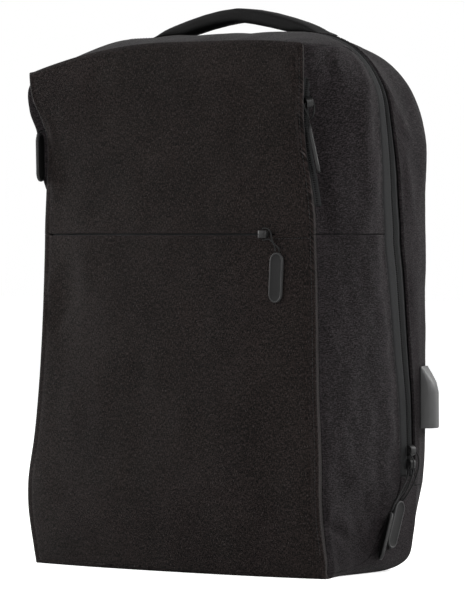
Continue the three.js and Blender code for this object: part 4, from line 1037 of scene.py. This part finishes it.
# ---- zips
def mainTape():
    points, ids = slice2(rightRow[5], leftRow[5], "zipFront", "zipRear")
    uv = gridUv(points)
    v = uv[..., 1]
    middle = v[:, lineStart[10] - lineStart[8]][:, None]
    wide = v[:, -1:]
    sunk = 1.2 + 1.7 * np.exp(-((v - middle) / 1.5) ** 4) + 1.6 * smoothStep((v / wide - 0.86) / 0.1)
    sunk = sunk + 1.8 * smoothStep((0.09 - v / wide) / 0.06)
    points = points - gridNormals(points) * sunk[..., None]
    item = meshFrom("mainZipTape", points, gridQuads(*points.shape[:2]), uv)
    wall(item, 0.7)
    return item, points


mainZip, zipPoints = mainTape()
put(mainZip, "main_zip_tape", tapeCloth)


def framesAlong(path, outs):
    # at each point of a path: its direction, the way out made square to it, and the third way
    along = np.gradient(path, axis=0)
    along /= np.linalg.norm(along, axis=1, keepdims=True)
    outs = outs - along * (outs * along).sum(1, keepdims=True)
    outs /= np.linalg.norm(outs, axis=1, keepdims=True)
    return along, outs, np.cross(outs, along)


def resample(path, values, pitch):
    # points at an even pitch along a path, with the values that go with them
    run = np.concatenate([[0], np.cumsum(np.linalg.norm(np.diff(path, axis=0), axis=1))])
    at = np.arange(pitch / 2, run[-1], pitch)
    return (np.stack([np.interp(at, run, path[:, k]) for k in range(3)], 1),
            np.stack([np.interp(at, run, values[:, k]) for k in range(3)], 1))


def repeatShape(name, shape, faces, path, outs):
    # one small shape set at every point of a path, in the path's own directions
    along, out, third = framesAlong(path, outs)
    basis = np.stack([along, third, out], 1)
    positions = path[:, None] + np.einsum("vk,nkc->nvc", shape, basis)
    count = len(shape)
    allFaces = (np.arange(len(path))[:, None, None] * count + np.asarray(faces)[None]).reshape(-1, len(faces[0]))
    return meshFrom(name, positions.reshape(-1, 3), allFaces)


boxFaces = [[0, 1, 2, 3], [7, 6, 5, 4], [0, 4, 5, 1], [1, 5, 6, 2], [2, 6, 7, 3], [3, 7, 4, 0]]


def toothShape(long, wide, tall, top=0.6):
    # a small block narrowed to its top
    low = [(-1, -1), (-1, 1), (1, 1), (1, -1)]
    points = [(a * long / 2, b * wide / 2, 0) for a, b in low]
    points += [(a * long / 2 * top, b * wide / 2 * 0.8, tall) for a, b in low]
    return np.array(points), boxFaces


def stitchShape(long, radius):
    # a short thread, six-sided, drawn in at both ends
    rings = [(-0.5, 0.25), (-0.36, 0.9), (0, 1.0), (0.36, 0.9), (0.5, 0.25)]
    turns = np.arange(6) * math.pi / 3
    points = []
    for place, share in rings:
        for t in turns:
            dip = -abs(place) * 0.5 * radius
            points.append((place * long, radius * share * math.cos(t), radius * share * math.sin(t) + dip))
    faces = []
    for ring in range(len(rings) - 1):
        for i in range(6):
            j = (i + 1) % 6
            faces.append([ring * 6 + i, ring * 6 + j, ring * 6 + 6 + j, ring * 6 + 6 + i])
    for i in range(2):
        start = 0 if i == 0 else 24
        ring = [start + k for k in range(6)]
        faces.append([ring[0], ring[1], ring[2], ring[3]][::-1] if i == 0 else [ring[0], ring[1], ring[2], ring[3]])
        faces.append([ring[0], ring[3], ring[4], ring[5]][::-1] if i == 0 else [ring[0], ring[3], ring[4], ring[5]])
    return np.array(points), faces


teeth = {"pitch": 1.8, "wide": 2.6, "tall": 1.1}
middle = lineStart[10] - lineStart[8]
zipOut = gridNormals(zipPoints)[:, middle]
path, outs = resample(zipPoints[:, middle], zipOut, teeth["pitch"])
shape, faces = toothShape(teeth["pitch"] * 0.55, teeth["wide"], teeth["tall"])
extra(repeatShape("mainZipTeeth", shape, faces, path, outs), coilDark)


def stitchRow(name, path, outs, pitch=3.0, long=2.3, radius=0.26, material=None, slotName="side_cloth"):
    path, outs = resample(path, outs, pitch)
    shape, faces = stitchShape(long, radius)
    item = repeatShape(name, shape, faces, path + outs * radius * 0.4, outs)
    return extra(item, material or threadBlack)


# ---- camera, floor and light
def buildCamera():
    data = bpy.data.cameras.new("camera")
    data.sensor_fit = "AUTO"
    data.sensor_width = 36
    data.lens = camera["lens"]
    data.clip_start = 0.1
    data.clip_end = 50
    item = bpy.data.objects.new("camera", data)
    bpy.context.scene.collection.objects.link(item)
    turn = math.radians(camera["turn"])
    reach = camera["reach"] * mm
    item.location = (reach * math.sin(turn), -reach * math.cos(turn), camera["height"] * mm)
    item.rotation_euler = (math.radians(90 + camera["pitch"]), 0, turn)
    bpy.context.scene.camera = item


def buildStage():
    bpy.ops.mesh.primitive_plane_add(size=24, location=(0, 0, 0))
    floor = bpy.context.object
    floor.name = "floor"
    material, shader = newMaterial("paleFloor")
    shader.inputs["Base Color"].default_value = (0.8, 0.8, 0.8, 1)
    shader.inputs["Roughness"].default_value = 0.95
    shader.inputs["Specular IOR Level"].default_value = 0.2
    shader.inputs["Emission Color"].default_value = (1, 1, 1, 1)
    seen = addNode(material.node_tree, "ShaderNodeLightPath").outputs["Is Camera Ray"]
    glow = maths(material.node_tree, "MULTIPLY", seen, 0.7)
    material.node_tree.links.new(glow, shader.inputs["Emission Strength"])
    floor.data.materials.append(material)
    world = bpy.data.worlds.new("studio")
    world.use_nodes = True
    tree = world.node_tree
    rise = addNode(tree, "ShaderNodeSeparateXYZ", {0: addNode(tree, "ShaderNodeTexCoord").outputs["Generated"]})
    dim = addNode(tree, "ShaderNodeMapRange", {
        "Value": rise.outputs["Z"], "From Min": 0.1, "From Max": 0.8, "To Min": 1.0, "To Max": 0.2})
    tree.links.new(dim.outputs["Result"], tree.nodes["Background"].inputs["Strength"])
    tree.nodes["Background"].inputs["Color"].default_value = (1, 1, 1, 1)
    bpy.context.scene.world = world
    bpy.context.scene.view_settings.view_transform = "Standard"


def softLight(name, turn, height, distance, size, watts, aim=(0, 0, 0.22)):
    data = bpy.data.lights.new(name, "AREA")
    data.energy = watts
    data.size = size
    item = bpy.data.objects.new(name, data)
    bpy.context.scene.collection.objects.link(item)
    a = math.radians(turn)
    place = np.array([distance * math.sin(a), -distance * math.cos(a), height])
    item.location = place
    item.rotation_euler = (Vector(aim) - Vector(place)).to_track_quat("-Z", "Y").to_euler()


buildCamera()
buildStage()
softLight("keyLight", -12, 1.1, 2.2, 1.3, 18)
softLight("sideLight", 84, 1.25, 2.0, 1.2, 27)
softLight("rimLight", 150, 1.2, 2.0, 1.0, 32)
softLight("leftLight", -80, 0.8, 2.0, 1.0, 32)

# ---- pieces shaped from the frame's solids
def mergedCopy(node, name):
    # the frame's solid copied into a new object, its loose triangles merged
    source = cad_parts[node]
    mesh = source.data.copy()
    mesh.transform(source.matrix_world)
    item = bpy.data.objects.new(name, mesh)
    bpy.context.scene.collection.objects.link(item)
    weld(item, 0.00005)
    return item


def bevelled(node, name, material, width):
    # a hard piece with small rounded edges
    item = mergedCopy(node, name)
    item.data.shade_smooth()
    cut = item.modifiers.new("edges", "BEVEL")
    cut.width = width * mm
    cut.segments = 3
    cut.limit_method = "ANGLE"
    cut.angle_limit = math.radians(28)
    cut.harden_normals = True
    return put(item, node, material)


def roundedCord(node, name):
    item = mergedCopy(node, name)
    item.data.shade_smooth()
    smooth = item.modifiers.new("round", "SUBSURF")
    smooth.levels = smooth.render_levels = 2
    return put(item, node, cordCloth)


def softPad(node, name, material, voxel, pressure, limit, frames):
    # a padded piece: the solid made even, drawn in a little, then filled by air as cloth
    item = mergedCopy(node, name)
    even = item.modifiers.new("even", "REMESH")
    even.mode = "VOXEL"
    even.voxel_size = voxel * mm
    applyModifiers(item)
    before = readPoints(item.data)
    normals = np.zeros(len(item.data.vertices) * 3)
    item.data.vertices.foreach_get("normal", normals)
    start = before - normals.reshape(-1, 3) * 0.8 * mm
    item.data.vertices.foreach_set("co", start.ravel())
    cloth = item.modifiers.new("cloth", "CLOTH").settings
    cloth.use_pressure = True
    cloth.uniform_pressure_force = pressure
    cloth.mass = 0.2
    cloth.tension_stiffness = cloth.compression_stiffness = 25
    cloth.bending_stiffness = 4
    cloth.effector_weights.gravity = 0
    scene = bpy.context.scene
    for step in range(1, frames + 1):
        scene.frame_set(step)
    applyModifiers(item)
    scene.frame_set(1)
    after = readPoints(item.data)
    moved = after - before
    moved -= np.median(moved, axis=0)
    size = np.linalg.norm(moved, axis=1, keepdims=True)
    moved *= np.minimum(1, limit * mm / np.maximum(size, 1e-9))
    item.data.vertices.foreach_set("co", (before + moved).ravel())
    item.data.shade_smooth()
    finer = item.modifiers.new("finer", "SUBSURF")
    finer.levels = finer.render_levels = 1
    return put(item, node, material)


def bendOverCrest(item):
    # lowers the handle's ends by the fall of the rounded crest that they are sewn to
    points = readPoints(item.data)
    corner = body["cornerRadius"] * ringTable["crest"][2] * mm
    flat = body["halfWidth"] * ringTable["crest"][0] * mm - corner
    over = np.clip(np.abs(points[:, 0]) - flat, 0, corner)
    points[:, 2] -= corner - np.sqrt(corner ** 2 - over ** 2)
    item.data.vertices.foreach_set("co", points.ravel())


tag = {"endShare": 1.2, "around": 64,
       "rows": [(5.6, 0.62), (2.0, 0.62), (1.6, 0.72), (1.35, 0.98), (0.75, 1.0), (0.3, 0.86), (0.05, 0.45)]}


def tagPiece(node, name):
    # rings of (inset, height) round a long plate with rounded ends, lower face to upper face, set in the
    # solid's own long, wide and thin directions
    points = readPoints(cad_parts[node].data) / mm
    values, ways = np.linalg.eigh(np.cov((points - points.mean(0)).T))
    longWay, wideWay = ways[:, 2], ways[:, 1]
    axes = np.stack([longWay, wideWay, np.cross(longWay, wideWay)])
    local = (points - points.mean(0)) @ axes.T
    half = (local.max(0) - local.min(0)) / 2
    centre = points.mean(0) + (local.min(0) + local.max(0)) / 2 @ axes
    turns = (np.arange(tag["around"]) + 0.5) * 2 * math.pi / tag["around"]
    rows = [(inset, -height) for inset, height in tag["rows"]]
    rows += [(inset, height) for inset, height in tag["rows"][::-1]]
    inset, height = np.array(rows).T[:, :, None]
    end = tag["endShare"] * (half[1] - inset)
    straight = half[0] - inset - end
    along = np.sign(np.cos(turns)) * straight + np.cos(turns) * end
    across = np.sin(turns) * (half[1] - inset)
    shape = np.stack(np.broadcast_arrays(along, across, height * half[2]), -1)
    shape = np.concatenate([shape, shape[:, :1]], 1)
    grid = centre + shape @ axes
    quads = gridQuads(*grid.shape[:2]).tolist()
    last = (grid.shape[0] - 1) * grid.shape[1]
    quads.append(list(range(tag["around"]))[::-1])
    quads.append([last + i for i in range(tag["around"])])
    marks = np.broadcast_to(inset, grid.shape[:2])
    item = meshFrom(name, grid, quads, np.stack([marks, 0 * marks], -1))
    weld(item)
    return put(item, node, tagRubberRimHighlight)


plainPads = {"strapVoxel": 4.5, "handleVoxel": 1.7, "pressure": 3.0, "limit": 2.5, "frames": 14}
frames = plainPads["frames"]
for hand in ["right", "left"]:
    softPad("shoulder_strap_" + hand, "strapPad" + hand.title(), strapSoft,
            plainPads["strapVoxel"], plainPads["pressure"], plainPads["limit"], frames)
    bevelled("ladder_lock_" + hand, "ladderLock" + hand.title(), buckle, 0.5)
    bevelled("webbing_" + hand, "webbing" + hand.title(), webPlain, 0.3)
handlePad = softPad("handle", "handlePad", webPlain, plainPads["handleVoxel"],
                    plainPads["pressure"], 0.8, frames)
bendOverCrest(handlePad)
bevelled("usb_housing", "usbHousing", socketPlastic, 0.9)
for place in ["front", "side_right", "side_left", "main_upper", "main_lower"]:
    title = place.title().replace("_", "")
    bevelled(place + "_slider", "slider" + title, blackPaint, 0.35)
    roundedCord(place + "_pull_cord", "cord" + title)
    tagPiece(place + "_pull_tag", "tag" + title)
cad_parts["front_zip_tape"].data.materials.clear()
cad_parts["front_zip_tape"].data.materials.append(tapeCloth)
for hand, rows in [("right", rightRow), ("left", leftRow)]:
    first, last = (rows[13], rows[18]) if hand == "right" else (rows[18], rows[13])
    points, ids = slice2(first, last, "groove", "zipSide")
    points = points + gridNormals(points) * 0.2
    item = meshFrom("sideTape" + hand.title(), points, gridQuads(*points.shape[:2]), gridUv(points))
    wall(item, 0.3)
    put(item, "side_zip_tape_" + hand, tapeCloth)
    half = points.shape[1] // 2
    path, outs = resample(points[:, half], gridNormals(points)[:, half], teeth["pitch"])
    shape, faces = toothShape(teeth["pitch"] * 0.55, 2.4, 0.6)
    extra(repeatShape("sideTeeth" + hand.title(), shape, faces, path, outs), coilDark)
print("hardware and pads")


# ---- stitches
def skinLine(start, stop, lineName, shift=0):
    points, ids = slice2(start, stop, "rim", "backEdge")
    at = lineStart[lineOf[lineName]] + shift
    path, outs = points[:, at], gridNormals(points)[:, at]
    smooth = np.ones(7) / 7
    soft = [np.stack([np.convolve(line[:, k], smooth, "valid") for k in range(3)], 1) for line in (path, outs)]
    return soft[0], soft[1]


stitchRow("ridgeStitchRight", *skinLine(rightRow[1], rightEar, "rim", 1), slotName="front_cloth")
stitchRow("ridgeStitchLeft", *skinLine(leftEar, leftRow[1], "rim", 1), slotName="front_cloth")
seamAt = faceRowStart[lowSeam + 1]
shut = face[seamAt][:, 0] > (slitEnds[1] + 0.01) * face[seamAt][:, 0].max()
stitchRow("seamStitch", face[seamAt - 1][shut], gridNormals(face)[seamAt - 1][shut], slotName="front_cloth")
stitchRow("zipStitchFront", *skinLine(rightRow[5], leftRow[5], "zipFront", -2))
stitchRow("zipStitchRear", *skinLine(rightRow[5], leftRow[5], "zipRear", 2))
